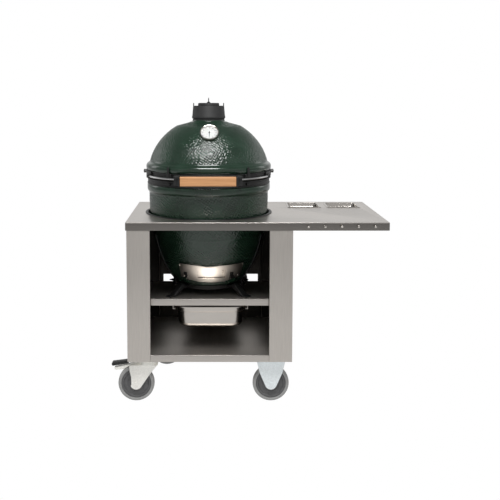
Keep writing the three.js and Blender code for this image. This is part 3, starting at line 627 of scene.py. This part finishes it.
def make_draft_door():
    low = lambda x: 508 + 19 * (x / 134) ** 2
    high = lambda x: 592 + 8 * (x / 146) ** 2
    side, window = lambda b: 134 + 12 * b, lambda b: WINDOW["half"]
    minus = lambda edge: lambda b: -edge(b)
    around_window = (
        (minus(side), minus(window), low, high, 8),
        (window, side, low, high, 8),
        (minus(window), window, low, lambda x: WINDOW["low"], 3),
        (minus(window), window, lambda x: WINDOW["high"], high, 3),
    )
    plates = [bent_plate(*edges, *FRAME_OFFSETS, rows=rows) for *edges, rows in around_window]
    plates += [screw_at(*place) for place in ((-38.5, 590), (38.5, 590), (-37.5, 536), (37.5, 536))]
    for name, shape, body, node in (
        ("draft_frame_plate", join(*plates), "cart", "draft_frame"),
        ("draft_door_panel", draft_door(), "draft_door", "draft_door"),
    ):
        shape = around(shape, DRAFT_TURN)
        piece(name, shape, BRIGHT_STEEL, body, (node,), KAMADO)
    screen = around(spark_screen(), DRAFT_TURN)
    piece("draft_screen_mesh", screen, ROD_STEEL, "cart", ("draft_screen",), KAMADO)


def door_edges():
    """The left, right, low and high edges that the sliding door and its screen share."""
    reach = math.sin(math.radians(DOOR["turn"])) * bowl_radius(552)
    return lambda b: -reach, lambda b: reach, lambda x: DOOR["low"], lambda x: DOOR["high"]


def draft_door():
    """The sliding door with its folded pull tab."""
    pull = bent_plate(lambda b: 52, lambda b: 54, lambda x: 536, lambda x: 567, 4, 16, 2)
    return join(bent_plate(*door_edges(), *DOOR_OFFSETS), pull)


def spark_screen():
    """A mesh of crossed wires between two thin upright edges."""
    left, right, low, high = door_edges()
    reach, wires = right(0), []
    for x in np.linspace(-reach + 3, reach - 3, 41):
        edges = lambda b: x, lambda b: x + 0.7, low, high
        wires.append(bent_plate(*edges, *SCREEN_OFFSETS, 1, 10))
    for z in np.linspace(527, 577, 17):
        edges = left, right, lambda x: z, lambda x: z + 0.7
        wires.append(bent_plate(*edges, *SCREEN_OFFSETS, 24, 1))
    for near, far in ((-reach, -reach + 4), (reach - 4, reach)):
        wires.append(bent_plate(lambda b: near, lambda b: far, low, high, 0.9, 2.3, 2))
    return join(*wires)


def screw_at(angle, z):
    """A domed screw head on the draft frame at an angle round the bowl."""
    y = -bowl_radius(z)
    head = bar(4.2, y - 11, y - 7, "Y", (0, z), edge=1.6)
    return around(head, angle)


# -------------------- kamado: lid
def make_dome():
    skin = [(dome_radius(z), z) for z in np.linspace(DOME_COLLAR, DOME_NECK, 70)]
    skin += [(92, 1220.5), (86, 1223), (80, 1225.5)]
    foot = [
        (RIM_INNER, 977.2), (277.5, 977.2), (RIM_OUTER, 978), (RIM_OUTER, 1001), (280.5, 1002.6),
        (284, 1004.5), (287.4, 1009), (288.7, 1015), (288.9, 1023), (287.6, 1029), (284.4, 1034),
        (279.5, 1038), (274.6, 1041), (272.6, 1043.5), (dome_radius(DOME_COLLAR), DOME_COLLAR),
    ]
    neck = [(80, 1225.5), (77, 1226.4), (75.6, 1227.6), (75, 1229), (75, 1232), (52, 1232)]
    inside = [(52, 1232), (52, 1208), (56, 1204), (100, 1198)]
    inside += [(dome_radius(z, DOME["wall"]), z) for z in np.linspace(1180, 1030, 14)]
    inside += [(RIM_INNER, 1012), (RIM_INNER, 977.2)]
    foot, neck, inside = (
        flipped(lathe(line, SHELL_SIDES, closed=False)) for line in (foot, neck, inside)
    )
    for name, shape, material, slot, nodes in (
        ("dome_skin", dimpled(skin, 2.1, 640), GLAZE, "green_glaze", ()),
        ("dome_collar", join(foot, neck), GLAZE, "green_glaze", ("lid_dome",)),
        ("dome_lining", inside, CLAY, "fireclay", ()),
    ):
        piece(name, shape, material, "lid", nodes, KAMADO, crease=50)


CLIP_TURNS = (-37, 37)


def band(z0, z1):
    """A pressed steel band whose two edges stand proud."""
    edge = [(279.3, 0), (283.4, 0), (284, 0.8), (284, 4), (283, 5.4), (282, 6)]
    low, high = [(r, z0 + z) for r, z in edge], [(r, z1 - z) for r, z in edge[::-1]]
    return lathe(low + high, 200)


def make_bands():
    low, high = Box("base_band"), Box("lid_band")
    bolts = [around(bar(6, -291, -281, "Y", (0, 956), 6), a) for a in CLIP_TURNS]
    ring = join(band(low.z0, low.z1), *bolts)
    piece("base_band_ring", ring, BLACK, "cart", ("base_band",), KAMADO)
    clip = join(
        block(-14, 14, -291, -282, 979, 1003, 1.2, 3),
        block(-6, 6, -295, -290, 985, 1032, 1.2, 2),
        block(-4, 4, -291, -287, 985, 1002, 0.8, 1),
        bar(5, -297.5, -290, "Y", (0, 991), 6),
    )
    ring = join(band(high.z0, high.z0 + 26), *(around(clip, a) for a in CLIP_TURNS))
    piece("lid_band_ring", ring, BLACK, "lid", ("lid_band",), KAMADO)
    for node, body in (("base_gasket", "cart"), ("lid_gasket", "lid")):
        b = Box(node)
        ring = [(RIM_INNER, b.z0), (277, b.z0), (RIM_OUTER, b.z0 + 1)]
        ring += [(RIM_OUTER, b.z1 - 1), (277, b.z1), (RIM_INNER, b.z1)]
        piece(node + "_felt", lathe(ring, SHELL_SIDES), FELT, body, (node,), KAMADO)


ROD = {"turns": (25.2, 68), "radius": 302, "sag": 10, "z": 982, "wire": 4.5}


def make_handle():
    g = Box("handle_grip")
    section = rounded_rectangle(g.y0, g.y1, g.z0, g.z1, 5, 6)
    grip = plate(section, g.x0, g.x1, edge=1.4, along="X")
    piece("handle_wood", grip, OAK, "lid", ("handle_grip",))
    half, face, front = (g.x1 - g.x0) / 2, g.y1 + 0.3, g.y0
    strap = [block(-half - 9, half + 9, face, face + 4, g.z0 - 1, g.z1 + 4, 0.8)]
    for side in (-1, 1):
        cap = sorted((side * (half + 0.3), side * (half + 9)))
        horn = sorted((side * (half + 4), side * (half + 27)))
        strap.append(block(*cap, front + 2, face + 4, g.z0, g.z1 + 1, 1.2, 2))
        strap.append(block(*horn, face, -252, g.z0, g.z1 + 2, 1.6, 3))
        strap.append(bar(5, face - 7, face, "Y", (side * (half + 17), 992), 6))
    piece("handle_bracket", join(*strap), BLACK, "lid", ("handle_strap",), KAMADO)
    for name, side in (("left", -1), ("right", 1)):
        path = []
        for angle in np.linspace(*ROD["turns"], 40):
            r = ROD["radius"] - ROD["sag"] * ((angle - 20) / 48) ** 2
            a = math.radians(angle)
            path.append((side * r * math.sin(a), -r * math.cos(a), ROD["z"]))
        rod = tube(path, ROD["wire"])
        node = "handle_rod_" + name
        piece(node + "_bar", rod, ROD_STEEL, "lid", (node,), KAMADO)
        ring = [(284.3, 979), (289, 979), (289, 1003), (284.3, 1003)]
        anchor = join(
            lathe(ring, 24, -26, 6),
            around(block(-12, 12, -300, -280, 974, 991, 1.6, 4), 68),
            bar(9.5, 287, 301, "X", (0, 996), 6, edge=1.5),
            bar(5, 299, 302, "X", (0, 996), edge=1),
        )
        anchor = anchor if side > 0 else mirrored(anchor)
        node = "handle_anchor_" + name
        piece(node + "_lug", anchor, BLACK, "lid", (node,), KAMADO)


# -------------------- kamado: hinge
SPRING = {"turns": 8.5, "r": 7.9, "wire": 1.25}


def make_hinge():
    pin = Box("hinge_pin")
    y, z = pin.cy, pin.cz
    ends = (pin.x0 - KAMADO[0], pin.x1 - KAMADO[0])
    bolt = join(
        bar(4.7, ends[0] + 3, ends[1] - 3, "X", (y, z)),
        bar(8, ends[0], ends[0] + 7, "X", (y, z), 6),
        bar(8, ends[1] - 7, ends[1], "X", (y, z), 6),
    )
    piece("hinge_bolt", bolt, ZINC_WARM, "cart", ("hinge_pin",), KAMADO)
    for name in ("left", "right"):
        s = Box("hinge_spring_" + name)
        coil = []
        for t in np.linspace(0, 1, 170):
            a = 2 * math.pi * SPRING["turns"] * t
            x = s.x0 + 1.3 + (s.x1 - s.x0 - 2.6) * t
            coil.append((x, s.cy + SPRING["r"] * math.cos(a), s.cz + SPRING["r"] * math.sin(a)))
        node = "hinge_spring_" + name
        piece(node + "_coil", tube(coil, SPRING["wire"], 8), ZINC_WARM, "cart", (node,))


# -------------------- kamado: vent cap
def slotted(inner, outer, low, high, slot_inner, slot_outer, turn):
    """A disc with four curved slots, from its rings and the bridges between them."""
    ring = lambda r0, r1: [(r0, low), (r1, low), (r1, high), (r0, high)]
    parts = [lathe(ring(inner, slot_inner), 96), lathe(ring(slot_outer, outer), 96)]
    for quarter in range(4):
        middle_angle = quarter * 90 + turn + 45
        parts.append(lathe(ring(slot_inner, slot_outer), 14, middle_angle - 25, middle_angle + 25))
    return parts


def make_vent():
    cup = [
        (46, 1214), (51.5, 1214), (51.5, 1232.3), (73, 1232.3), (73, 1238), (76.4, 1240.4),
        (77, 1242), (76.9, 1248), (75.6, 1251), (71.9, 1294), (71, 1296.4), (69.4, 1297),
        (67.4, 1296.4), (66.5, 1295), (66.5, 1287), (63.2, 1287), (66.8, 1246), (62, 1241),
        (46, 1240),
    ]
    ears = [around(block(67, 71.4, -4.5, 4.5, 1288, 1310, 1.4, 1.6), a) for a in (0, 180)]
    body = join(lathe(cup, 120), *slotted(4.7, 66.4, 1287, 1291, 49, 62, 0), *ears)
    piece("vent_cup", body, IRON, "lid", ("vent_body",), KAMADO)
    crown = [
        (4.7, 1304), (40, 1304), (40, 1292), (48.9, 1292), (48.9, 1305), (47.5, 1308.8),
        (45, 1310), (4.7, 1310),
    ]
    flange = slotted(48.8, 65.8, 1291.4, 1296.2, 49, 62, 45)
    handle = [around(block(50, 60, -3, 3, 1295, 1303, 1.2, 2), 45)]
    disc = join(lathe(crown, 120), *flange, *handle)
    piece("vent_daisy_disc", disc, IRON, "vent_disc", ("vent_disc",), KAMADO)
    stud = [
        (0, 1279), (8, 1279), (8, 1286.6), (4.2, 1286.6), (4.2, 1310.3), (8, 1310.3), (8, 1313.2),
        (7, 1314.4), (3.2, 1315.4), (2.4, 1318), (2.0, 1330), (1.2, 1334), (0, 1335),
    ]
    piece("vent_stud", lathe(stud, 48), IRON, "lid", ("vent_pivot",), KAMADO)


# -------------------- kamado: thermometer
DIAL = {"at": (4.5, -188.5, 1176.7), "elevation": 44.0}
DIAL_TICKS = {"sweep": 150, "small": 10, "large": 30}


def on_dial(shape):
    """From the dial's own frame, whose Z comes out of its face, to the kamado's."""
    return moved(shape, by=DIAL["at"], turn=(90 - DIAL["elevation"], 0, 0))


def tick(angle):
    """One mark of the scale, longer and wider at the large steps."""
    inner, half = (29, 0.35) if angle % DIAL_TICKS["large"] else (26, 0.7)
    return around(block(-half, half, inner, 33, 7.3, 7.5, 0.05, 0.2), angle)


def make_thermometer():
    case = [
        (0, -60), (3, -60), (3, -26), (8, -24), (8, 2), (39, 2.5), (41.4, 3.6), (42, 5.5), (42, 11),
        (41.3, 13), (40, 14), (38.6, 13.6), (38, 12.6), (38, 6), (0, 6),
    ]
    face = bar(37, 6.3, 7.3, sides=96, edge=0.1)
    lens = bar(37, 10.5, 12, sides=96, edge=0.3)
    sweep = DIAL_TICKS["sweep"]
    scale = [tick(a) for a in range(-sweep, sweep + 1, DIAL_TICKS["small"])]
    scale.append(lathe([(34.2, 7.3), (34.8, 7.3), (34.8, 7.45), (34.2, 7.45)], 96))
    for name, shape, material, slot, nodes in (
        ("thermometer_bezel", lathe(case, 96), BRIGHT_STEEL, "bright_steel", ("thermometer_case",)),
        ("thermometer_face", face, DIAL_WHITE, "dial_face", ("thermometer_dial",)),
        ("thermometer_glass", lens, GLASS, "lens_glass", ("thermometer_lens",)),
        ("thermometer_scale", join(*scale), INK, "black_plastic", ()),
    ):
        piece(name, on_dial(shape), material, "lid", nodes, KAMADO)
    pointer = plate([(-1.7, 9), (1.7, 9), (0.5, -29), (-0.5, -29)], 7.8, 8.6, edge=0.2)
    hub = bar(3.4, 7.7, 9.4, edge=0.6)
    needle = on_dial(join(pointer, hub))
    node = "thermometer_needle"
    piece("thermometer_pointer", needle, INK, "needle", (node,), KAMADO)


# -------------------- kamado: nest and insides
NEST = {"seat": 502, "clear": 2.5, "top": 711}
GRID = {"radius": 227, "z": 929.5, "rim": 3.4}


def make_nest():
    hug = bowl_radius(NEST["seat"]) + NEST["clear"]
    foot = Box("middle_shelf").z0 + 2.3
    ring = [
        (139, 467), (140, 466), (145, 466), (146, 467), (146, 483.9), (145, 484.7), (140, 484.7),
        (139, 483.9),
    ]
    leg_line = [
        (-142, 470), (-142, 482), (-160, 482), (-174, 491), (-182, 491), (-232, foot + 7),
        (-258, foot + 5), (-258, foot), (-228, foot), (-172, 470),
    ]
    leg = plate(filleted(leg_line, 4), -17, 17, edge=1.5, along="X")
    rise = [
        (-bowl_radius(max(z, NEST["seat"])) - NEST["clear"], z)
        for z in np.linspace(480, NEST["top"], 30)
    ]
    arm = join(bent_strip(rise, 13, -5), block(-13, 13, -hug - 5, -142, 470, 476, 1))
    parts = [lathe(ring, 128)]
    parts += [around(leg, a) for a in (45, 135, 225, 315)]
    parts += [around(arm, a) for a in (70, 110, 250, 290)]
    piece("nest_frame", join(*parts), BLACK, "cart", ("nest",), KAMADO)


def grid_wire(radius, along, offset):
    """A wire that crosses the cooking grid at an offset from its middle."""
    half = math.sqrt(GRID["radius"] ** 2 - offset * offset)
    return bar(radius, -half, half, along, (offset, GRID["z"]), 10, edge=0.4)


def make_insides():
    box = [
        (55, 545), (116, 545), (122, 548), (165, 600), (192, 680), (200, 767), (198, 770),
        (184, 770), (182, 768), (174, 682), (148, 608), (112, 564), (106, 562), (55, 562),
    ]
    ring = [
        (200, 770.3), (204, 770.3), (226, 830), (232, 922), (230, 925), (216, 925), (214, 922),
        (186, 780), (186, 770.3),
    ]
    for node, line in (("firebox", box), ("fire_ring", ring)):
        piece(node + "_shell", lathe(line, 96), CLAY, "cart", (node,), KAMADO)
    wires = [lathe(circle(GRID["radius"], GRID["z"], GRID["rim"], 16), 96)]
    wires += [grid_wire(2.2, "Y", x) for x in np.linspace(-209, 209, 23)]
    wires += [grid_wire(2.6, "X", y) for y in (-80, 80)]
    node = "cooking_grid"
    piece(node + "_wires", join(*wires), ROD_STEEL, node, (node,), KAMADO)


# -------------------- cart: worktop
WORKTOP = {"sheet": 3, "cutout": 284.3, "pan_seat": 6}
PEGS = 5
PANS = ("worktop_pan_left", "worktop_pan_right")


def inner_rectangle(box, gap, radius, steps=6):
    """A rounded rectangle at a gap inside the upright sides of a box."""
    sides = box.x0 + gap, box.x1 - gap, box.y0 + gap, box.y1 - gap
    return rounded_rectangle(*sides, radius, steps)


def make_worktop():
    t, sheet = Box("worktop"), WORKTOP["sheet"]
    outline = inner_rectangle(t, 0, 2.6, 4)
    cutouts = [circle(KAMADO[0], 0, WORKTOP["cutout"], SHELL_SIDES)]
    cutouts += [inner_rectangle(Box(node), WORKTOP["pan_seat"], 12) for node in PANS]
    top = plate(outline, t.z1 - sheet, t.z1, cutouts, edge=(0, 1.35))
    piece("worktop_top", top, TOP_STEEL, "cart", ("worktop",))
    # the folds take the darker steel with painted shade
    fold = plate(outline, t.z0, t.z1 - sheet, [inner_rectangle(t, sheet, 0.8, 2)], edge=(1.3, 0))
    piece("worktop_folds", fold, SHADED_FOLD_STEEL, "cart", ("worktop",))

    trim = [
        (281.5, 787), (283.5, 787), (283.6, 805.4), (293.2, 805.4), (293.8, 806.2), (293, 807.6),
        (290.6, 808.4), (283, 808.4), (281.6, 807),
    ]
    trim = lathe(trim, 200)
    piece("bowl_trim_ring", trim, BLACK, "cart", ("worktop_ring",), KAMADO)

    pegs, fold = Box("tool_peg_rail"), t.y0 + 3.3
    parts = [block(pegs.x0, pegs.x1, fold, fold + 2, pegs.z0, pegs.z1, 0.5)]
    for x in np.linspace(pegs.x0 + 20, pegs.x1 - 20, PEGS):
        at = (x, pegs.cz)
        parts.append(bar(4, pegs.y0 + 2, t.y0 + 4, "Y", at))
        parts.append(bar(5.4, pegs.y0, pegs.y0 + 3.4, "Y", at, edge=1.5))
    piece("tool_pegs", join(*parts), BRIGHT_STEEL, "cart", ("tool_peg_rail",))


def food_pan(box, rim, corner, foot, shoulder):
    """A deep-drawn steel pan: rolled rim, a shoulder below it and large soft corners."""
    top, base = box.z1, box.z0
    inside = [
        (0.4, -4.0), (0.0, -2.6), (0.3, -1.0), (1.4, -0.2), (3.0, 0.0), (rim - 2.4, 0.0),
        (rim - 0.8, -0.7), (rim, -2.4), (rim + 0.6, -shoulder + 1.5), (rim + 1.2, -shoulder),
        (rim + 3.2, -shoulder - 2.5),
    ]
    lean = rim + 7.5
    for a in np.linspace(0, math.pi / 2, 7):
        bend = foot * (1 - math.cos(a)), foot * (1 - math.sin(a))
        inside.append((lean + bend[0], base - top + 1 + bend[1]))
    outside = [(i - 1.0 if i > rim - 1 else i + 0.9, z - 1.0) for i, z in inside[::-1]]
    rings = []
    for i, z in inside + outside:
        radius = max(corner - 0.55 * i, 9 if z > -5 else 16)
        rings.append([(*p, top + z) for p in inner_rectangle(box, i, radius, 8)])
    inner = stitched(rings[: len(inside)], cap_end=True)
    outer = stitched(rings[len(inside) :][::-1], cap_end=True)
    return join(inner, flipped(outer))


def make_pans():
    for node in PANS:
        shape = food_pan(Box(node), 10, 16, 14, 18)
        piece(node + "_drawn", shape, PAN_STEEL, node, (node,))
    shape = food_pan(Box("ash_pan"), 12, 58, 24, 24)
    piece("sliding_pan_drawn", shape, PAN_STEEL, "ash_pan", ("ash_pan",))


# -------------------- cart: cabinet
SHEET = 2
HEM = 14
WINDOWS = {"x": (108, 239), "z": (333, 441)}
SHELF_NOTCH = {"y": 149, "half": 183}
# the caster rails take the steel with painted shade
PLAIN_NODES = {
    "caster_rail_left": SHADED_INNER_STEEL, "caster_rail_right": SHADED_INNER_STEEL,
    "pan_runner_left": RAIL_STEEL, "pan_runner_right": RAIL_STEEL,
    "hinge_lower": BLACK, "hinge_upper": BLACK, "fire_grate": IRON,
}


def folded(profile, x0, x1):
    """A folded front rail: its (y, z) profile with rounded bends, along X."""
    return plate(filleted(profile, 1.8, 4), x0, x1, edge=0.2, along="X")


def make_side_panel(node, side):
    b = Box(node)
    outer, inner = (b.x0, b.x1) if side < 0 else (b.x1, b.x0)
    at = lambda depth: outer - side * depth
    wide = abs(inner - outer)
    front = [
        (at(0), b.y0), (at(wide), b.y0), (at(wide), b.y0 + HEM), (at(wide - SHEET), b.y0 + HEM),
        (at(wide - SHEET), b.y0 + SHEET), (at(SHEET), b.y0 + SHEET),
    ]
    rear = [(x, b.y0 + b.y1 - y) for x, y in front[::-1]]
    shape = plate(filleted(front + rear, 1.6, 3), b.z0, b.z1, edge=0.5)
    piece(node + "_sheet", shape, COLUMN_STEEL, "cart", (node,))


def make_cabinet_floor():
    b, low, high = Box("bottom_panel"), Box("side_panel_left"), Box("side_panel_right")
    left, right, clear = low.x1 + 0.5, high.x0 - 0.5, b.y0 + 15
    outline = [
        (left, b.y0 + SHEET), (right, b.y0 + SHEET), (right, clear), (b.x1, clear), (b.x1, b.y1),
        (b.x0, b.y1), (b.x0, clear), (left, clear),
    ]
    floor = plate(outline, b.z1 - SHEET, b.z1, edge=0.3)
    piece("cabinet_floor", floor, FLOOR_STEEL, "cart", ("bottom_panel",))
    rail = [
        (b.y0, b.z0), (b.y0 + 2, b.z0), (b.y0 + 2, b.z1 - 2.2), (b.y0 + 4, b.z1 - 2),
        (b.y0 + 4, b.z1), (b.y0, b.z1),
    ]
    rear = block(left, right, b.y1 - SHEET, b.y1, b.z0, b.z1 - 2.2, 0.4)
    rails = join(folded(rail, left, right), rear)
    piece("cabinet_rails", rails, RAIL_STEEL, "cart", ("bottom_panel",))


def make_back():
    b = Box("back_panel")
    holes = []
    for side in (-1, 1):
        span = sorted(side * x for x in WINDOWS["x"])
        holes.append(rounded_rectangle(*span, *WINDOWS["z"], 2, 3))
    x0, x1 = b.x0 - 0.9, b.x1 + 0.9
    outline = [(x0, b.z0), (x1, b.z0), (x1, b.z1), (x0, b.z1)]
    back = plate(outline, b.y0, b.y1, holes, edge=0.1, along="Y")
    piece("back_sheet", back, BACK_STEEL, "cart", ("back_panel",))


def make_shelf():
    b = Box("middle_shelf")
    top, notch, half = b.z0 + SHEET, SHELF_NOTCH["y"], SHELF_NOTCH["half"]
    outline = [
        (b.x0, b.y0 + SHEET), (b.x1, b.y0 + SHEET), (b.x1, notch), (half, notch), (half, b.y1),
        (-half, b.y1), (-half, notch), (b.x0, notch),
    ]
    sheet = plate(outline, b.z0, top, edge=0.3)
    piece("shelf_sheet", sheet, FLOOR_STEEL, "cart", ("middle_shelf",))
    lip = [
        (b.y0, b.z0), (b.y0 + 4, b.z0), (b.y0 + 4, top), (b.y0 + 2, top + 0.3), (b.y0 + 2, b.z1),
        (b.y0, b.z1),
    ]
    lip = folded(lip, b.x0, b.x1)
    piece("shelf_lip", lip, RAIL_STEEL, "cart", ("middle_shelf",))


def make_cabinet():
    make_side_panel("side_panel_left", -1)
    make_side_panel("side_panel_right", 1)
    make_cabinet_floor()
    make_back()
    make_shelf()
    for node, material in PLAIN_NODES.items():
        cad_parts[node].data.materials[0] = material


# -------------------- cart: casters
WHEEL = 80
TRAIL = 53
CHEEK_SPANS = ((-25, -22), (22, 25))
SWIVEL_CHEEK = [(-30, 166), (-28, 134), (-22, 112), (-21, 75)] + arc(0, WHEEL, 26, 200, 330, 10)
SWIVEL_CHEEK += [(50, 108), (64, 128), (95, 166)]
FIXED_CHEEK = [(-63, 184), (-50, 130)] + arc(0, WHEEL, 26, 205, 335, 10) + [(50, 130), (63, 184)]
RIB_LINES = ((-42, -22), (-16, -8), (16, 8), (42, 22))


def upright(shape, x, y):
    """From a wheel's own frame, whose Z is its axle, to its place over the floor."""
    return moved(shape, by=(x, y, WHEEL), turn=(90, 0, 0))


def make_wheel(name, x, y, body):
    tread = [(65.8, -14.6), (68, -16.2), (72, -17), (75.5, -16.4), (78.2, -14), (79.5, -9)]
    tread += [(WHEEL, 0)] + [(r, -z) for r, z in tread[::-1]]
    hub = [
        (6.4, 17), (20, 17), (21.5, 15), (23, 9.5), (36, 9), (37, 10.4), (38.5, 10.4), (39.5, 9),
        (52, 8.6), (54, 10), (56, 13.6), (58, 14.6), (62.2, 14.6), (63.4, 13), (64.2, 13),
        (65.6, 13.6),
    ]
    hub += [(r, -z) for r, z in hub[::-1]]
    node = f"caster_{name}_wheel"
    piece(node + "_tyre", upright(lathe(tread, 128), x, y), TYRE, body, (node,))
    piece(node + "_hub", upright(lathe(hub, 96), x, y), HUB, body, (node,))


def fork_sides(cheek, *extras):
    """Two cheeks, what else is pressed into them, and the axle bolt with its two heads."""
    cheeks = [plate(cheek, *span, edge=1.2, along="Y") for span in CHEEK_SPANS]
    heads = [bar(9, *span, "Y", (0, WHEEL), 6, edge=0.8) for span in ((-28.6, -25), (25, 28.6))]
    return join(*cheeks, *extras, bar(5.7, -26, 26, "Y", (0, WHEEL)), *heads)


def mounting_plate(across, along):
    """The plate that four bolts hold to the cart, with the bolts at these half distances."""
    corners = [(a, b) for a in (-across, across) for b in (-along, along)]
    bolts = [bar(7, 185, 189.4, at=at, sides=6) for at in corners]
    return join(block(-69, 69, -55, 55, 189, 193, 1.2, 8), *bolts)


def make_swivel_caster(name, facing):
    spot = Box(f"caster_{name}_plate")
    x, y = spot.cx, spot.cy
    race = lathe([(0, 183), (26, 183), (30, 185), (31, 190), (0, 190)], 64)
    node = f"caster_{name}_plate"
    shape = join(mounting_plate(54, 40), race)
    piece(node + "_steel", shape, ZINC_WARM, "cart", (node,), (x, y, 0))

    crown = [(0, 163), (36, 163), (36, 168), (34.5, 174), (33, 180), (30, 182.5), (0, 182.5)]
    bead = filleted([(-10, 150), (-10, 90), (-6, 90), (-4, 150)], 2)
    bead = plate(bead, -26, -24.6, edge=0.6, along="Y")
    tongue = [
        (-79, 166), (-79, 159.5), (-93, 152), (-107, 143), (-140, 140), (-149, 142), (-149, 151),
    ]
    fork = join(
        lathe(crown, 64),
        block(-83, 42, -25, 25, 162, 166, 1.4, 6),
        moved(fork_sides(filleted(SWIVEL_CHEEK, 9, 5), bead), (-TRAIL, 0, 0)),
        plate(filleted(tongue, 2.5), -12, 12, edge=1.5, along="Y"),
    )
    turn = (0, 0, 0 if facing < 0 else 180)
    node, body = f"caster_{name}_fork", "swivel_" + name
    piece(node + "_steel", moved(fork, (x, y, 0), turn), ZINC_WARM, body, (node,))
    toe = arc(-153, 166.5, 8, 250, 80, 12)
    lever = plate([(-86, 170)] + toe + [(-96, 181.5), (-84, 183)], -17, 17, edge=2.2, along="Y")
    lever = moved(lever, (x, y, 0), turn)
    node, body = f"caster_{name}_pedal", "pedal_" + name
    piece(node + "_lever", lever, BLACK, body, (node,))
    make_wheel(name, x + facing * TRAIL, y, "wheel_" + name)


def make_fixed_caster(name):
    b = Box(f"caster_{name}_fork")
    ribs = []
    for top, low in RIB_LINES:
        line = [(top - 3, 176), (low - 2.4, 96), (low + 2.4, 96), (top + 3, 176)]
        ribs.append(plate(filleted(line, 2), -26.4, -24.6, edge=0.8, along="Y"))
    fork = join(
        mounting_plate(57, 42),
        block(-62, 62, -25, 25, 182, 190, 2.5, 4),
        fork_sides(filleted(FIXED_CHEEK, 6, 4), *ribs),
    )
    node = f"caster_{name}_fork"
    piece(node + "_steel", fork, ZINC_COOL, "cart", (node,), (b.cx, b.cy, 0))
    make_wheel(name, b.cx, b.cy, "wheel_" + name)


# -------------------- studio
# Brightness against the height, the share towards the back and the share towards the right;
# each runs from -1 at position 0 to 1 at position 1.
SKY_BY_HEIGHT = ((0.0, 0.60), (0.50, 0.36), (0.57, 0.44), (0.66, 0.64), (0.76, 0.30), (1.0, 0.20))
SKY_BY_DEPTH = ((0.0, 1.0), (0.22, 0.95), (0.40, 0.62), (0.62, 0.80), (0.90, 1.0), (1.0, 1.7))
SKY_BY_SIDE = ((0.0, 0.80), (0.5, 1.0), (1.0, 1.12))
LIGHTS = (
    ("softbox_front", (-0.2, -1.9, 3.5), (-0.17, 0, 1.0), (1.7, 1.1), 98),
    ("softbox_left", (-3.0, 1.4, 1.8), (-0.2, 0, 0.9), (1.0, 1.8), 6),
    ("softbox_right", (3.0, 1.4, 1.8), (-0.1, 0, 0.9), (1.0, 1.8), 5),
)
FLOOR_HALF = 9
CAMERA = {
    "lens": 60.84, "sensor": 36.0, "shift": (0.0686, -0.1563), "pitch": 5.4,
    "x": 25.6, "distance": 3571.7, "height": 1360.5,
}


def area_light(name, at, aim, size, power):
    """A rectangular softbox; places and sizes are in metres."""
    light = bpy.data.lights.new(name, "AREA")
    light.shape = "RECTANGLE"
    light.size, light.size_y = size
    light.energy = power
    lamp = bpy.data.objects.new(name, light)
    bpy.context.scene.collection.objects.link(lamp)
    lamp.location = at
    lamp.rotation_euler = (Vector(aim) - Vector(at)).to_track_quat("-Z", "Y").to_euler()


def make_world():
    """A white studio: bright around the horizon and below, dim high overhead."""
    world = bpy.data.worlds.new("studio")
    bpy.context.scene.world = world
    world.use_nodes = True
    w = Nodes(world.node_tree)
    split = w.split(w.add("TexCoord").outputs["Generated"])
    height, depth, side = (
        w.ramp(w.range(split[axis], 0.0, 1.0, start=-1.0), [(at, grey(v)) for at, v in stops])
        for axis, stops in (("Z", SKY_BY_HEIGHT), ("Y", SKY_BY_DEPTH), ("X", SKY_BY_SIDE))
    )
    sky = w.mix(1.0, w.mix(1.0, height, depth, "MULTIPLY"), side, "MULTIPLY")
    seen = w.mix(w.add("LightPath").outputs["Is Camera Ray"], sky, WHITE)
    w.feed(w.tree.nodes["Background"].inputs["Color"], seen)


def make_stage():
    """A pure white sweep to the eye that sends only a soft grey light back up."""
    m = Material("white_floor")
    tone = m.ramp(m.noise(0.6, detail=1.0), [(0.0, grey(0.42)), (1.0, grey(0.46))])
    m.set(Base_Color=tone, Roughness=1.0, Specular_IOR_Level=0.0)
    m.set(Emission_Color=WHITE, Emission_Strength=0.40)
    glow = m.add("Emission", {"Color": WHITE, "Strength": 1.0}).outputs[0]
    seen = m.add("LightPath").outputs["Is Camera Ray"]
    mix = m.add("MixShader", {0: seen, 1: m.shader.outputs[0], 2: glow})
    output = next(n for n in m.tree.nodes if n.type == "OUTPUT_MATERIAL")
    m.feed(output.inputs["Surface"], mix.outputs[0])
    mesh = bpy.data.meshes.new("studio_floor")
    corners = [(FLOOR_HALF * x, FLOOR_HALF * y, 0) for x, y in ((-1, -1), (1, -1), (1, 1), (-1, 1))]
    mesh.from_pydata(corners, [], [(0, 1, 2, 3)])
    mesh.materials.append(m.material)
    floor = bpy.data.objects.new("studio_floor", mesh)
    bpy.context.scene.collection.objects.link(floor)


def make_camera():
    camera = bpy.data.cameras.new("camera")
    camera.lens = CAMERA["lens"]
    camera.sensor_width = CAMERA["sensor"]
    camera.shift_x, camera.shift_y = CAMERA["shift"]
    holder = bpy.data.objects.new("camera", camera)
    bpy.context.scene.collection.objects.link(holder)
    place = (CAMERA["x"], Box("worktop").y0 - CAMERA["distance"], CAMERA["height"])
    holder.location = (Vector(place) + Vector(ORIGIN)) * MM
    holder.rotation_euler = (math.radians(90 - CAMERA["pitch"]), 0, 0)
    bpy.context.scene.camera = holder
    bpy.context.scene.view_settings.view_transform = "Standard"


for make in (
    make_bowl, make_draft_door, make_dome, make_bands, make_handle, make_hinge, make_vent,
    make_thermometer, make_nest, make_insides, make_worktop, make_pans, make_cabinet,
):
    make()
for name, facing in (("front_left", -1), ("rear_left", 1)):
    make_swivel_caster(name, facing)
for name in ("front_right", "rear_right"):
    make_fixed_caster(name)
for light in LIGHTS:
    area_light(*light)
make_world()
make_stage()
make_camera()
